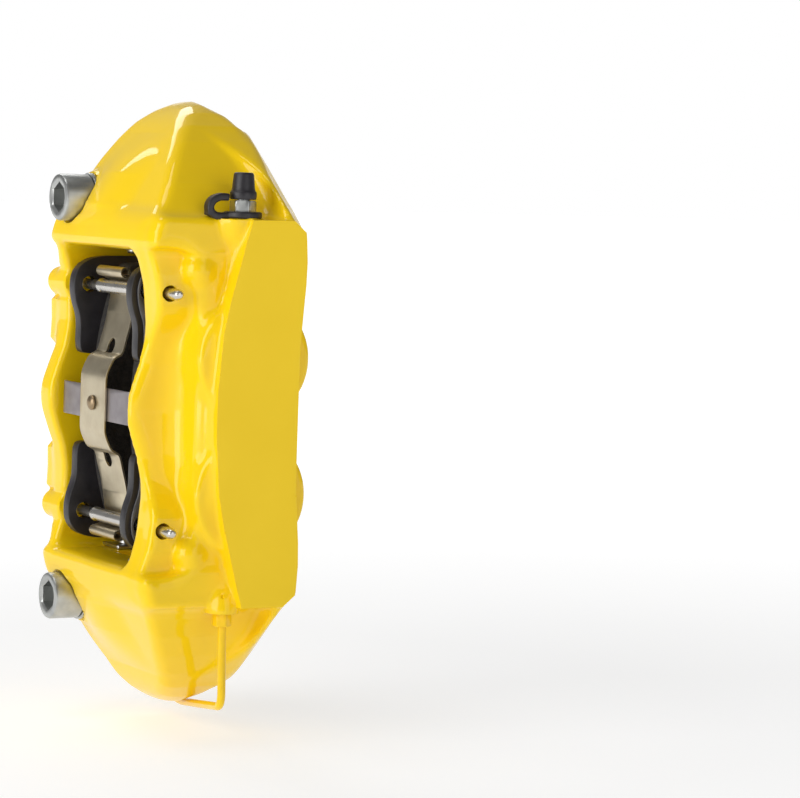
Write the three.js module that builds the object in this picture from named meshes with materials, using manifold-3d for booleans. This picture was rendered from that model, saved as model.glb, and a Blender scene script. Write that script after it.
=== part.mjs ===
// Four-piston fixed brake caliper for a 345 x 28 mm disc.
//
// Design coordinates, in millimetres: the disc's centre is the origin, the disc turns about Y,
// -Y is outboard (the wheel side), +X points from the caliper to the hub, and +Z runs along the
// caliper's length. The whole group is then shifted so that the part's own origin lies midway
// between the two mounting bolts, on the plane where the caliper meets its bracket.
import * as THREE from 'three';
import { mergeVertices } from 'three/addons/utils/BufferGeometryUtils.js';
import Module from 'manifold-3d';

const wasm = await Module();
wasm.setup();

// ---------------------------------------------------------------- driving dimensions
const RIM_CLEAR = 176; // radius of the disc slot's roof, over a rim of radius 172.5
const SLOT_HALF = 18.5; // half width of the disc slot
const HALF_LENGTH = 136; // half of the casting's length
const WINDOW_HALF_Z = 69; // pad window, half length
const WINDOW_HALF_Y = 39.5; // pad window, half width
const HUB_SIDE_X = -116; // casting's edge nearest the hub
const FACE_Y = 71; // outboard face plate
const FLANK_Y = 62; // flank behind the face plate
const RIDGE_Y = 47; // outer side of the window's rim
const FLANK_TOP_X = -164; // radially outer side of the flank between the shelves
const SHELF_Z = 84; // shelves that carry the bleed screws and the crossover pipe

const BORE_X = -135.5;
const BORE_Z = { upper: 23.5, lower: -36 }; // the pistons sit off centre, towards the lower end
const BORE_R = 22.05;
const BORE_END_Y = 62.5;
const BOSS_R = 26.6;
const BOSS_END_Y = 66;
const INBOARD_BOSS_END_Y = 70;
const PISTON_R = 21.9;
const PISTON_FRONT_Y = 34.4;
const PISTON_LENGTH = 25.5;
const PISTON_WALL = 5.5;
const PISTON_CUP_DEPTH = 18;
const SEAL_GROOVE = { from: 43.4, to: 47.2, radius: 25 };
const DUST_GROOVE = { from: 40.3, to: 42.3, radius: 24 };
const RING_GAP = 0.3; // free space between a ring and its groove
const RING_INNER_R = 22.0;

const FRICTION_FROM = 14.3; // disc face is at 14
const FRICTION_TO = 27.0;
const PLATE_FROM = 27.3;
const PLATE_TO = 33.0;
const SHIM_FROM = 33.3;
const SHIM_TO = 34.1;
const PAD_HALF_Z = 64;

const PIN_X = -172.5;
const PIN_Z = 51.3;
const PIN_R = 3;
const PIN_NECK_R = 2.3;
const PIN_HOLE_R = 3.6;
const PIN_TIP_Y = -66;
const PIN_HEAD_Y = 63;
const PIN_BOSS_R = 6.5; // inboard boss that the pin is driven into
const PIN_BOSS_END_Y = 58;
const PIN_COUNTERBORE_Y = 44;

const BOLT_Y = 30;
const BOLT_Z = 90;
const BOLT_R = 7;
const BOLT_HOLE_R = 7.6;
const BOLT_HEAD_R = 10.5;
const BOLT_HEAD_HEIGHT = 14;
const BOLT_SEAT_X = -171.7;
const BOLT_TIP_X = -98;
const MOUNT_X = -122; // mounting plane
const WASHER_R = 12;
const WASHER_THICKNESS = 2;
const BOLT_BOSS_R = 14;
const BOLT_BOSS_X = -174;

const BLEED_X = -141;
const BLEED_Y = 60;
const PORT_BOSS_R = 8.5;
const BLEED_BORE_R = 5.1;
const BLEED_BORE_DEPTH = 20;
const PORT_DEPTH = 14;
const PORT_END_Z = 87; // the pipe's bosses stand a little below the lower shelf
const PASSAGE_R = 1.75;
const PASSAGE_Y = 60.6;
const PORT_X = { outboard: -145, inboard: -132 }; // crossover pipe's two ports
const PIPE_R = 2.4;
const NUT_R = 5.2;
const INLET = { x: -156, z: -6, radius: 5.1, landR: 9, landY: 71, depth: 12 };

const ABUTMENT = {
  outboard: { topX: -173, screwX: -164 },
  inboard: { topX: -158, screwX: -150 },
};

const SHAFT_SIDES = 16;
const BORE_SIDES = 28;
const SLOT_SIDES = 96;
const PIN_SIDES = 12;

// ---------------------------------------------------------------- materials
const paint = { color: 0xfdd22e, roughness: 0.25, metalness: 0 };
const steel = { color: 0xb4b6b2, roughness: 0.35, metalness: 0.9 };
const FINISH = {
  paint,
  steel,
  piston: { color: 0xc9cbcc, roughness: 0.3, metalness: 0.8 },
  seal: { color: 0x1c1c1c, roughness: 0.8, metalness: 0 },
  backing: { color: 0x2a2829, roughness: 0.55, metalness: 0.3 },
  friction: { color: 0x1b1a1a, roughness: 0.95, metalness: 0.1 },
  shim: { color: 0x3a3a3c, roughness: 0.5, metalness: 0.5 },
  spring: { color: 0xd0c4a0, roughness: 0.4, metalness: 0.7 },
  wing: { color: 0x968c8e, roughness: 0.4, metalness: 0.7 },
  rubber: { color: 0x18161a, roughness: 0.6, metalness: 0 },
};

const group = new THREE.Group();
group.position.set(-MOUNT_X, -BOLT_Y, 0);

function add(name, geometry, finish) {
  const mesh = new THREE.Mesh(geometry, new THREE.MeshStandardMaterial(FINISH[finish]));
  mesh.name = name;
  group.add(mesh);
  return mesh;
}

// ---------------------------------------------------------------- solids
// A closed geometry with shared vertices, no slivers on an axis, and its faces pointing out.
function weld(geometry) {
  const bare = geometry.clone();
  bare.deleteAttribute('normal');
  bare.deleteAttribute('uv');
  const merged = mergeVertices(bare, 1e-3);
  const index = merged.index.array;
  const at = (i) => new THREE.Vector3().fromBufferAttribute(merged.attributes.position, i);
  const kept = [];
  let volume = 0;
  for (let i = 0; i < index.length; i += 3) {
    const [a, b, c] = [index[i], index[i + 1], index[i + 2]];
    if (a === b || b === c || c === a) continue;
    kept.push(a, b, c);
    volume += at(a).dot(at(b).cross(at(c)));
  }
  if (volume < 0) kept.reverse();
  merged.setIndex(kept);
  return merged;
}

function solid(geometry) {
  const welded = weld(geometry);
  return new wasm.Manifold(new wasm.Mesh({
    numProp: 3,
    vertProperties: new Float32Array(welded.attributes.position.array),
    triVerts: new Uint32Array(welded.index.array),
  }));
}

function geometryOf(manifold) {
  const mesh = manifold.getMesh();
  const geometry = new THREE.BufferGeometry();
  geometry.setAttribute('position', new THREE.BufferAttribute(mesh.vertProperties, 3));
  geometry.setIndex(Array.from(mesh.triVerts));
  return geometry;
}

const join = (...solids) => solids.reduce((sum, next) => sum.add(next));
const cut = (base, ...tools) => tools.reduce((rest, tool) => rest.subtract(tool), base);

function shapeOf(points, holes = []) {
  const toVector = ([u, v]) => new THREE.Vector2(u, v);
  const shape = new THREE.Shape(points.map(toVector));
  shape.holes = holes.map((hole) => new THREE.Path(hole.map(toVector)));
  return shape;
}

// Prisms: the outline's two coordinates are (x, z), (y, z) or (x, y), in that order.
const AXES = {
  y: [[1, 0, 0], [0, 0, 1], [0, -1, 0]],
  x: [[0, 1, 0], [0, 0, 1], [1, 0, 0]],
  z: [[1, 0, 0], [0, 1, 0], [0, 0, 1]],
};

function prism(axis, outline, from, to, holes = []) {
  const depth = to - from;
  const geometry = new THREE.ExtrudeGeometry(shapeOf(outline, holes), { depth, bevelEnabled: false });
  const basis = AXES[axis].map((v) => new THREE.Vector3(...v));
  geometry.applyMatrix4(new THREE.Matrix4().makeBasis(...basis));
  const start = axis === 'y' ? to : from;
  geometry.translate(...['x', 'y', 'z'].map((name) => (name === axis ? start : 0)));
  return geometry;
}

function circle(u, v, radius, sides = SHAFT_SIDES, turn = 0) {
  return Array.from({ length: sides }, (_, i) => {
    const angle = turn + (2 * Math.PI * i) / sides;
    return [u + radius * Math.cos(angle), v + radius * Math.sin(angle)];
  });
}

function rod(axis, u, v, radius, from, to, sides = SHAFT_SIDES) {
  return prism(axis, circle(u, v, radius, sides), from, to);
}

// A turned piece: profile of [radius, distance along the axis], spun about a line along `axis`.
function turned(axis, profile, place, sides = SHAFT_SIDES) {
  const points = profile.map(([radius, along]) => new THREE.Vector2(radius, along));
  const geometry = new THREE.LatheGeometry(points, sides);
  if (axis === 'z') geometry.rotateX(Math.PI / 2);
  if (axis === 'x') geometry.rotateZ(-Math.PI / 2);
  geometry.translate(...place);
  return weld(geometry);
}

const mirrorZ = (points) => [...points].reverse().map(([u, v]) => [u, -v]);
const bothEnds = (points) => [...points, ...mirrorZ(points)];

const SIDES = [
  { name: 'outboard', sign: -1 },
  { name: 'inboard', sign: 1 },
];
const ENDS = [
  { name: 'upper', sign: 1 },
  { name: 'lower', sign: -1 },
];

// A prism along y given in distances from the disc's middle plane, on either side of it.
function sidePrism(sign, outline, near, far) {
  return sign > 0 ? prism('y', outline, near, far) : prism('y', outline, -far, -near);
}

const sideRod = (sign, x, z, radius, near, far, sides) =>
  sidePrism(sign, circle(x, z, radius, sides), near, far);

function ribbon(path, thickness) {
  const left = [];
  const right = [];
  path.forEach((point, i) => {
    const before = path[Math.max(i - 1, 0)];
    const after = path[Math.min(i + 1, path.length - 1)];
    const along = new THREE.Vector2(after[0] - before[0], after[1] - before[1]).normalize();
    const offset = thickness / 2;
    left.push([point[0] - along.y * offset, point[1] + along.x * offset]);
    right.push([point[0] + along.y * offset, point[1] - along.x * offset]);
  });
  return [...left, ...right.reverse()];
}

const arc = (u, v, radius, from, to, steps) =>
  Array.from({ length: steps + 1 }, (_, i) => {
    const angle = from + ((to - from) * i) / steps;
    return [u + radius * Math.cos(angle), v + radius * Math.sin(angle)];
  });

// ---------------------------------------------------------------- casting
// Radially outer edge of the casting from the middle to the upper tip, as [x, z]: the wavy rim of
// the window, the shoulder, an arc over the disc's rim, and the rounded tip.
const RIM_WAVE = [
  [-185.2, 0], [-183.6, 10], [-180, 20], [-177.5, 28], [-176.2, 40],
  [-177.6, 54], [-180.2, 63], [-182.2, 70], [-180.5, 80],
];
const SHOULDER_ARC = arc(0, 0, 197.3, Math.PI - Math.asin(88 / 197.3), Math.PI - Math.asin(121 / 197.3), 4);
const TIP = [[-144, 129.5], [-134.5, 134], [-124, HALF_LENGTH]];

function outerEdge(middle) {
  return [...middle, ...SHOULDER_ARC, ...TIP];
}

function castingProfile(middle, hubSide) {
  const half = [...outerEdge(middle), ...hubSide];
  const lower = half.filter(([, z]) => z > 0);
  return [...half, ...mirrorZ(lower)];
}

const HUB_EDGE = [[-118, 134.5], [-115, 119], [-112.5, 100], [HUB_SIDE_X, 82]];
const FLANK_EDGES = {
  outboard: [[FLANK_TOP_X, 40], [FLANK_TOP_X, 68], [-180, 76]],
  inboard: [[FLANK_TOP_X, 40], [FLANK_TOP_X, 68], [-170, 74], [-171, 82]],
};

// Seen along x: outboard and inboard limits, as [y, z]. The ends lean back from the shelves.
const OUTLINE_YZ = bothEnds([
  [-FACE_Y, SHELF_Z], [-50.5, SHELF_Z], [-36, 108], [-20.5, 124], [-9, 130.5], [4, 135.5],
  [12, HALF_LENGTH + 1], [24, 133.5], [32, 127], [38.5, 109], [42, 98], [47, 90],
  [50.5, SHELF_Z], [FACE_Y, SHELF_Z],
]);

// Hub-side limit of the ends, which leans back towards the tip: the outboard half, then the bridge
// over the disc's rim, where the crossover pipe passes.
const TRIMS = [
  { from: -90, to: -SLOT_HALF, edge: [[-137, 136], [-130, 129], [-121, 108], [-115, 97], [-111, 84]] },
  { from: -SLOT_HALF - 1, to: SLOT_HALF, edge: [[-134, 138], [-132, 135.5], [-125, 129], [-119, 120]] },
];

function facePlate() {
  const leftEdge = [[-155.8, 8], [-154.9, 26], [-151.8, 43], [-147.2, 62], [-141, SHELF_Z]];
  const rightEdge = [[-121, SHELF_Z], [-115, 79], [-114.5, 60], [-116.5, 30]];
  return prism('y', bothEnds([...leftEdge, ...rightEdge]), -FACE_Y, -FLANK_Y + 2);
}

function bores(sign) {
  return ENDS.flatMap((end) => {
    const z = BORE_Z[end.name];
    const { from: sealFrom, to: sealTo, radius: sealR } = SEAL_GROOVE;
    const { from: dustFrom, to: dustTo, radius: dustR } = DUST_GROOVE;
    return [
      sideRod(sign, BORE_X, z, BORE_R, WINDOW_HALF_Y - 1, BORE_END_Y, BORE_SIDES),
      sideRod(sign, BORE_X, z, sealR, sealFrom, sealTo, BORE_SIDES),
      sideRod(sign, BORE_X, z, dustR, dustFrom, dustTo, BORE_SIDES),
    ];
  }).map(solid);
}

// Bell-shaped boss round a port on one of the shelves, fading out towards the middle.
function portBoss(sign, end, x, endZ) {
  const profile = [[0, 0], [PORT_BOSS_R, 0], [PORT_BOSS_R, 4], [5, 20], [0, 26]];
  const placed = profile.map(([radius, depth]) => [radius, end * (endZ - depth)]);
  return solid(turned('z', placed, [x, sign * BLEED_Y, 0], 16));
}

function casting() {
  const core = solid(prism('y', castingProfile(RIM_WAVE, HUB_EDGE), -RIDGE_Y, RIDGE_Y + 3));
  const flanks = SIDES.map(({ name, sign }) => {
    const middle = [[FLANK_TOP_X, 0], ...FLANK_EDGES[name]];
    return solid(sidePrism(sign, castingProfile(middle, HUB_EDGE), 0, FLANK_Y));
  });
  let body = join(core, ...flanks).intersect(solid(prism('x', OUTLINE_YZ, -200, -90)));
  body = cut(body, ...ENDS.flatMap(({ sign }) => TRIMS.map(({ from, to, edge }) => {
    const outline = [[-50, 60], [-50, 150], [edge[0][0], 150], ...edge];
    return solid(prism('y', outline.map(([x, z]) => [x, sign * z]), from, to));
  })));

  const bosses = SIDES.flatMap(({ sign }) => ENDS.map((end) => {
    const far = sign < 0 ? BOSS_END_Y : INBOARD_BOSS_END_Y;
    return solid(sideRod(sign, BORE_X, BORE_Z[end.name], BOSS_R, RIDGE_Y - 2, far, BORE_SIDES));
  }));
  const pinBosses = ENDS.flatMap(({ sign }) => [
    solid(rod('y', PIN_X + 1, sign * PIN_Z, 6, -56, -RIDGE_Y + 2, 16)),
    solid(rod('y', PIN_X, sign * PIN_Z, PIN_BOSS_R, RIDGE_Y - 2, PIN_BOSS_END_Y, 16)),
    solid(inboardShoulder(sign)),
  ]);
  const boltBosses = ENDS.map(({ sign }) =>
    solid(rod('x', BOLT_Y, sign * BOLT_Z, BOLT_BOSS_R, BOLT_BOSS_X, -130, 24)));
  const fluidBosses = [
    portBoss(-1, 1, BLEED_X, SHELF_Z), portBoss(1, 1, BLEED_X, SHELF_Z),
    portBoss(-1, -1, PORT_X.outboard, PORT_END_Z), portBoss(1, -1, PORT_X.inboard, PORT_END_Z),
  ];
  const inletBoss = solid(rod('y', INLET.x, INLET.z, INLET.landR, 58, INLET.landY));
  body = join(body, solid(facePlate()), ...bosses, ...pinBosses, ...boltBosses, ...fluidBosses, inletBoss);

  const window_ = [[-210, -1], [-90, -1], [-90, 1], [-210, 1]].map(([x, z]) => [x, z * WINDOW_HALF_Z]);
  const tools = [
    solid(prism('y', window_, -WINDOW_HALF_Y, WINDOW_HALF_Y)),
    solid(rod('y', 0, 0, RIM_CLEAR, -SLOT_HALF, SLOT_HALF, SLOT_SIDES)),
    ...bores(-1),
    ...bores(1),
    ...boltCuts(),
    ...pinCuts(),
    ...fluidCuts(),
    ...abutmentCuts(),
  ];
  return geometryOf(cut(body, ...tools));
}

// Thick shoulder on the inboard wall, between the rim's middle and the pin's boss.
function inboardShoulder(end) {
  const outline = [[-176.5, 24], [-176.5, 43], [-160, 48], [-160, 18]];
  return prism('y', outline.map(([x, z]) => [x, end * z]), RIDGE_Y, 60);
}

// Bolt holes, spot faces under the heads, and the flat lands that meet the bracket.
function boltCuts() {
  return ENDS.flatMap(({ sign }) => {
    const z = sign * BOLT_Z;
    const land = [[SLOT_HALF - 1, 74], [90, 74], [90, 107], [SLOT_HALF - 1, 107]];
    return [
      solid(rod('x', BOLT_Y, z, BOLT_HOLE_R, -200, -90)),
      solid(rod('x', BOLT_Y, z, WASHER_R + 0.6, -200, BOLT_SEAT_X, 24)),
      solid(prism('x', land.map(([y, v]) => [y, sign * v]), MOUNT_X, -90)),
    ];
  });
}

function pinCuts() {
  return ENDS.flatMap(({ sign }) => [
    solid(rod('y', PIN_X, sign * PIN_Z, PIN_HOLE_R, -90, 90, PIN_SIDES)),
    solid(rod('y', PIN_X, sign * PIN_Z, PIN_HOLE_R + 1.2, PIN_COUNTERBORE_Y, 90, PIN_SIDES)),
  ]);
}

function fluidCuts() {
  const passageX = BLEED_X - 1.5;
  const drilled = SIDES.flatMap(({ name, sign }) => [
    rod('z', BLEED_X, sign * BLEED_Y, BLEED_BORE_R, SHELF_Z - BLEED_BORE_DEPTH, 120),
    rod('z', PORT_X[name], sign * BLEED_Y, BLEED_BORE_R, -120, -SHELF_Z + PORT_DEPTH),
    rod('z', passageX, sign * PASSAGE_Y, PASSAGE_R, -SHELF_Z + 6, SHELF_Z - 6, 8),
  ]);
  const crossDrilling = rod('x', PASSAGE_Y, -SHELF_Z + 10, PASSAGE_R, passageX, PORT_X.inboard, 8);
  const inletDrilling = rod('x', PASSAGE_Y, INLET.z, PASSAGE_R, INLET.x, passageX, 8);
  const inlet = rod('y', INLET.x, INLET.z, INLET.radius, INLET.landY - INLET.depth, 90);
  return [...drilled, crossDrilling, inletDrilling, inlet].map(solid);
}

function abutmentCuts() {
  return SIDES.flatMap((side) => ENDS.map((end) => {
    const [low, high] = [end.sign * 68, end.sign * 77].sort((a, b) => a - b);
    return solid(rod('z', ABUTMENT[side.name].screwX, side.sign * 30, 2.2, low, high, 12));
  }));
}

// ---------------------------------------------------------------- pads
// Upper half of the backing plate, as [x, z], from the top notch round to the inner arc.
const PLATE_TOP = [
  [-166, 0], [-166, 17], [-168, 19.5], [-175.2, 20], [-176.4, 23], [-176.6, 34], [-178, 40.5],
  [-179.6, 45], [-180, 51], [-179.4, 56], [-177, 60], [-172, 62.5], [-166, PAD_HALF_Z],
  [-118, PAD_HALF_Z], [-111, 57],
];
const PAD_INNER_R = 121;
const FRICTION_OUTER_R = 170.5;
const FRICTION_INNER_R = 123;

function padPlateOutline(inset = 0) {
  const innerArc = arc(0, 0, PAD_INNER_R + inset, Math.PI - 0.42, Math.PI, 5);
  const inward = ([x, z]) => [x + inset * 1.2, z > 40 ? z - inset : z];
  const half = [...PLATE_TOP.map(inward), ...innerArc];
  return [...half, ...mirrorZ(half.filter(([, z]) => z > 1e-6))];
}

function frictionOutline() {
  const outer = arc(0, 0, FRICTION_OUTER_R, Math.PI, Math.PI - 0.352, 5);
  const inner = arc(0, 0, FRICTION_INNER_R, Math.PI - 0.47, Math.PI, 5);
  const half = [...outer, [-150, 61.5], [-118, 61.5], ...inner];
  return [...half, ...mirrorZ(half.filter(([, z]) => z > 1e-6))];
}

function pads() {
  SIDES.forEach(({ name, sign }) => {
    const plate = solid(sidePrism(sign, padPlateOutline(), PLATE_FROM, PLATE_TO));
    const pinHoles = ENDS.map((end) =>
      solid(sideRod(sign, PIN_X, end.sign * PIN_Z, PIN_HOLE_R, PLATE_FROM - 1, PLATE_TO + 1)));
    add(`pad_plate_${name}`, geometryOf(cut(plate, ...pinHoles)), 'backing');
    const block = solid(sidePrism(sign, frictionOutline(), FRICTION_FROM, FRICTION_TO));
    const slotHalf = 1.2;
    const wearSlot = solid(sidePrism(
      sign,
      [[-180, -slotHalf], [-100, -slotHalf], [-100, slotHalf], [-180, slotHalf]],
      FRICTION_FROM - 1,
      FRICTION_TO - 3,
    ));
    add(`pad_friction_${name}`, geometryOf(cut(block, wearSlot)), 'friction');
    const shim = solid(sidePrism(sign, padPlateOutline(2.2), SHIM_FROM, SHIM_TO));
    const clearHoles = ENDS.map((end) =>
      solid(sideRod(sign, PIN_X, end.sign * PIN_Z, PIN_HOLE_R + 0.3, SHIM_FROM - 1, SHIM_TO + 1)));
    add(`pad_shim_${name}`, geometryOf(cut(shim, ...clearHoles)), 'shim');
  });
}

// ---------------------------------------------------------------- pistons and seals
function pistons() {
  const far = PISTON_FRONT_Y + PISTON_LENGTH;
  const rim = PISTON_R - PISTON_WALL;
  const floor = PISTON_FRONT_Y + PISTON_CUP_DEPTH;
  const cup = [
    [0, floor], [rim, floor], [rim, PISTON_FRONT_Y], [PISTON_R - 0.8, PISTON_FRONT_Y],
    [PISTON_R, PISTON_FRONT_Y + 0.8], [PISTON_R, far - 1], [PISTON_R - 1, far], [0, far],
  ];
  const ring = ({ from, to, radius }) => [
    [RING_INNER_R, from + RING_GAP], [radius - RING_GAP, from + RING_GAP],
    [radius - RING_GAP, to - RING_GAP], [RING_INNER_R, to - RING_GAP], [RING_INNER_R, from + RING_GAP],
  ];
  const outward = (profile, sign) => profile.map(([radius, y]) => [radius, sign * y]);
  SIDES.forEach((side) => ENDS.forEach((end) => {
    const place = [BORE_X, 0, BORE_Z[end.name]];
    const label = `${side.name}_${end.name}`;
    add(`piston_${label}`, turned('y', outward(cup, side.sign), place, BORE_SIDES), 'piston');
    const seal = outward(ring(SEAL_GROOVE), side.sign);
    add(`piston_seal_${label}`, turned('y', seal, place, BORE_SIDES), 'seal');
    const dustSeal = outward(ring(DUST_GROOVE), side.sign);
    add(`dust_seal_${label}`, turned('y', dustSeal, place, BORE_SIDES), 'seal');
  }));
}

// ---------------------------------------------------------------- pins and springs
function pins() {
  ENDS.forEach((end) => {
    const place = [PIN_X, 0, end.sign * PIN_Z];
    const profile = [
      [0, PIN_TIP_Y], [1.6, PIN_TIP_Y], [2.4, PIN_TIP_Y + 1.6], [2.4, -42], [PIN_R, -40],
      [PIN_R, 12], [PIN_R + 0.3, 12.6], [PIN_R + 0.3, 14.4], [PIN_NECK_R, 16], [PIN_NECK_R, 34],
      [PIN_R, 36], [PIN_R, PIN_HEAD_Y - 4], [4.6, PIN_HEAD_Y - 4], [4.6, PIN_HEAD_Y - 1],
      [3.8, PIN_HEAD_Y], [0, PIN_HEAD_Y],
    ];
    add(`retaining_pin_${end.name}`, turned('y', profile, place, PIN_SIDES), 'steel');
    const [sleeveFrom, sleeveTo] = [PIN_COUNTERBORE_Y + 1, PIN_BOSS_END_Y];
    const sleeve = [
      [3.3, sleeveFrom], [4.5, sleeveFrom], [4.5, sleeveTo], [3.3, sleeveTo], [3.3, sleeveFrom],
    ];
    add(`pin_sleeve_${end.name}`, turned('y', sleeve, place, PIN_SIDES), 'spring');
  });
}

const LEAF_HALF_Y = 13;
const LEAF_THICKNESS = 0.9;
const LEAF_MIDDLE_X = -181.7;
const ROLL_R = 1.9;

function leafPath() {
  const roll = arc(-173.8, 58.2, ROLL_R, -Math.PI * 0.5, -Math.PI * 2.15, 10).reverse();
  const half = [
    [-170.4, 55.4], [-168.1, 52], [-168.3, 48], [-170.2, 37], [-174.2, 22.2],
    [-177.6, 20.6], [-180.6, 15.6], [LEAF_MIDDLE_X, 9.5], [LEAF_MIDDLE_X, 0],
  ];
  const upper = [...roll, ...half];
  return [...upper, ...[...upper].slice(0, -1).reverse().map(([x, z]) => [x, -z])];
}

function springs() {
  const strip = solid(prism('y', ribbon(leafPath(), LEAF_THICKNESS), -LEAF_HALF_Y, LEAF_HALF_Y));
  const keyholes = ENDS.flatMap(({ sign }) => {
    const slot = [[-3.6, 21.8], [3.6, 21.8], [3.4, 25.4], [1.8, 28.4], [-1.8, 28.4], [-3.4, 25.4]];
    return solid(prism('x', slot.map(([y, z]) => [y, sign * z]), -179, -168));
  });
  const rivetHole = solid(rod('x', 0, 0, 2.3, -190, -170, 16));
  add('leaf_spring', geometryOf(cut(strip, ...keyholes, rivetHole)), 'spring');

  const wingHalfY = 36.5;
  const wingHalfZ = 7.3;
  const top = LEAF_MIDDLE_X + LEAF_THICKNESS / 2 + 0.3;
  const profile = [
    [-wingHalfY, 1.2], [-wingHalfY + 3, 0], [wingHalfY - 3, 0], [wingHalfY, 1.2],
    [wingHalfY, 2.4], [wingHalfY - 3, 1.2], [-wingHalfY + 3, 1.2], [-wingHalfY, 2.4],
  ];
  const wing = solid(prism('z', profile.map(([y, x]) => [top + x, y]), -wingHalfZ, wingHalfZ));
  add('wing_plate', geometryOf(cut(wing, rivetHole)), 'wing');

  const rivet = [
    [0, -2.2], [2.6, -1.9], [3.4, -0.9], [3.4, -0.3], [2, -0.3], [2, 2.9], [3.2, 2.9], [3, 4], [0, 4.4],
  ];
  const base = LEAF_MIDDLE_X - LEAF_THICKNESS / 2;
  add('spring_rivet', turned('x', rivet, [base, 0, 0], 16), 'steel');
}

// ---------------------------------------------------------------- bleed screws and caps
function hexagon(acrossFlats) {
  return circle(0, 0, acrossFlats / Math.sqrt(3), 6, Math.PI / 6);
}

function bleedScrews() {
  SIDES.forEach(({ name, sign }) => {
    const place = [BLEED_X, sign * BLEED_Y, SHELF_Z];
    const shank = [
      [0, -15], [1.6, -15], [3, -12.5], [4.9, -11.5], [4.9, 0.5], [4.2, 0.8], [4.2, 2.6],
      [0, 2.6],
    ];
    const nipple = [[0, 8], [2.9, 8], [2.9, 10], [3.7, 11.5], [3.2, 14.5], [2.3, 16], [0, 16]];
    const hex = prism('z', hexagon(10), 2.4, 8.2);
    const ends = [shank, nipple].map((profile) => solid(turned('z', profile, [0, 0, 0], 16)));
    const body = join(solid(hex), ...ends);
    const bore = solid(rod('z', 0, 0, 1.1, -9, 17, 8));
    const geometry = geometryOf(cut(body, bore));
    geometry.translate(...place);
    add(`bleed_screw_${name}`, geometry, 'steel');

    const cap = [
      [0, 20.4], [4.4, 20.4], [4.9, 19.8], [5.8, 12], [6.2, 11.6], [6.2, 8.8], [4.2, 8.8],
      [4.2, 16.6], [0, 16.6],
    ];
    add(`bleed_cap_${name}`, turned('z', cap, place, 16), 'rubber');
    addTether(name, place);
  });
}

// The cap's rubber tether: a ring round the screw's foot and a loop that stands beside it.
function addTether(name, [x, y, z]) {
  const ring = solid(prism('z', circle(0, 0, 8.2, 20), 0.3, 2));
  const hole = solid(rod('z', 0, 0, 5.1, -1, 4));
  const strapHalfY = 2.4;
  const outer = [
    [-6.5, 0.4], [-13, 0.4], [-16.4, 2.4], [-17.4, 5.6], [-15.6, 8.8], [-11.4, 10.2],
    [-7.2, 10.4], [-7.2, 7.8],
  ];
  const inner = [[-10.8, 7.6], [-13, 6.6], [-13.4, 4], [-11, 2.4], [-6.5, 2]];
  const strap = solid(prism('y', [...outer, ...inner], -strapHalfY, strapHalfY));
  const geometry = geometryOf(cut(join(ring, strap), hole));
  geometry.translate(x, y, z);
  add(`cap_tether_${name}`, geometry, 'rubber');
}

// ---------------------------------------------------------------- crossover pipe
function pipe() {
  const portY = BLEED_Y;
  const start = -SHELF_Z - 1.5;
  const corners = [
    [PORT_X.outboard, -portY, start], [-144, -portY, -128.5], [-133.5, -14, -135], [-127, 16, -139],
    [-128.5, 38, -133.5], [PORT_X.inboard, portY, -116], [PORT_X.inboard, portY, start],
  ].map((p) => new THREE.Vector3(...p));
  const route = new THREE.CurvePath();
  const radius = 11;
  let from = corners[0];
  for (let i = 1; i < corners.length - 1; i += 1) {
    const before = corners[i].clone().sub(corners[i - 1]).normalize();
    const after = corners[i + 1].clone().sub(corners[i]).normalize();
    const enter = corners[i].clone().addScaledVector(before, -radius / 2);
    const leave = corners[i].clone().addScaledVector(after, radius / 2);
    route.add(new THREE.LineCurve3(from, enter));
    route.add(new THREE.QuadraticBezierCurve3(enter, corners[i], leave));
    from = leave;
  }
  route.add(new THREE.LineCurve3(from, corners[corners.length - 1]));
  const section = shapeOf(circle(0, 0, PIPE_R, 8));
  const geometry = new THREE.ExtrudeGeometry(section, { steps: 44, extrudePath: route, bevelEnabled: false });
  add('crossover_pipe', weld(geometry), 'paint');

  SIDES.forEach(({ name, sign }) => {
    const hex = prism('z', circle(0, 0, NUT_R, 6), -7, -0.4);
    const thread = rod('z', 0, 0, 4.6, -1, 10);
    const hole = rod('z', 0, 0, PIPE_R + 0.6, -20, 20, 12);
    const nut = geometryOf(cut(join(solid(hex), solid(thread)), solid(hole)));
    nut.translate(PORT_X[name], sign * portY, -PORT_END_Z);
    add(`flare_nut_${name}`, nut, 'paint');
  });
}

// ---------------------------------------------------------------- mounting bolts
function mountingBolts() {
  ENDS.forEach(({ name, sign }) => {
    const seat = BOLT_SEAT_X - 0.3;
    const under = seat - WASHER_THICKNESS - 0.3;
    const headTop = under - BOLT_HEAD_HEIGHT;
    const profile = [
      [0, headTop], [BOLT_HEAD_R - 1, headTop], [BOLT_HEAD_R, headTop + 1], [BOLT_HEAD_R, under],
      [BOLT_R, under], [BOLT_R, BOLT_TIP_X - 1.5], [BOLT_R - 1.5, BOLT_TIP_X], [0, BOLT_TIP_X],
    ];
    const blank = solid(turned('x', profile, [0, 0, 0], 24));
    const socket = solid(prism('x', hexagon(12), headTop - 1, headTop + 7));
    const geometry = geometryOf(cut(blank, socket));
    geometry.translate(0, BOLT_Y, sign * BOLT_Z);
    add(`mounting_bolt_${name}`, geometry, 'steel');
    const washer = prism('x', circle(BOLT_Y, sign * BOLT_Z, WASHER_R, 24), seat - WASHER_THICKNESS, seat, [
      circle(BOLT_Y, sign * BOLT_Z, BOLT_R + 0.4, 24),
    ]);
    add(`bolt_washer_${name}`, weld(washer), 'steel');
  });
}

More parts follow.
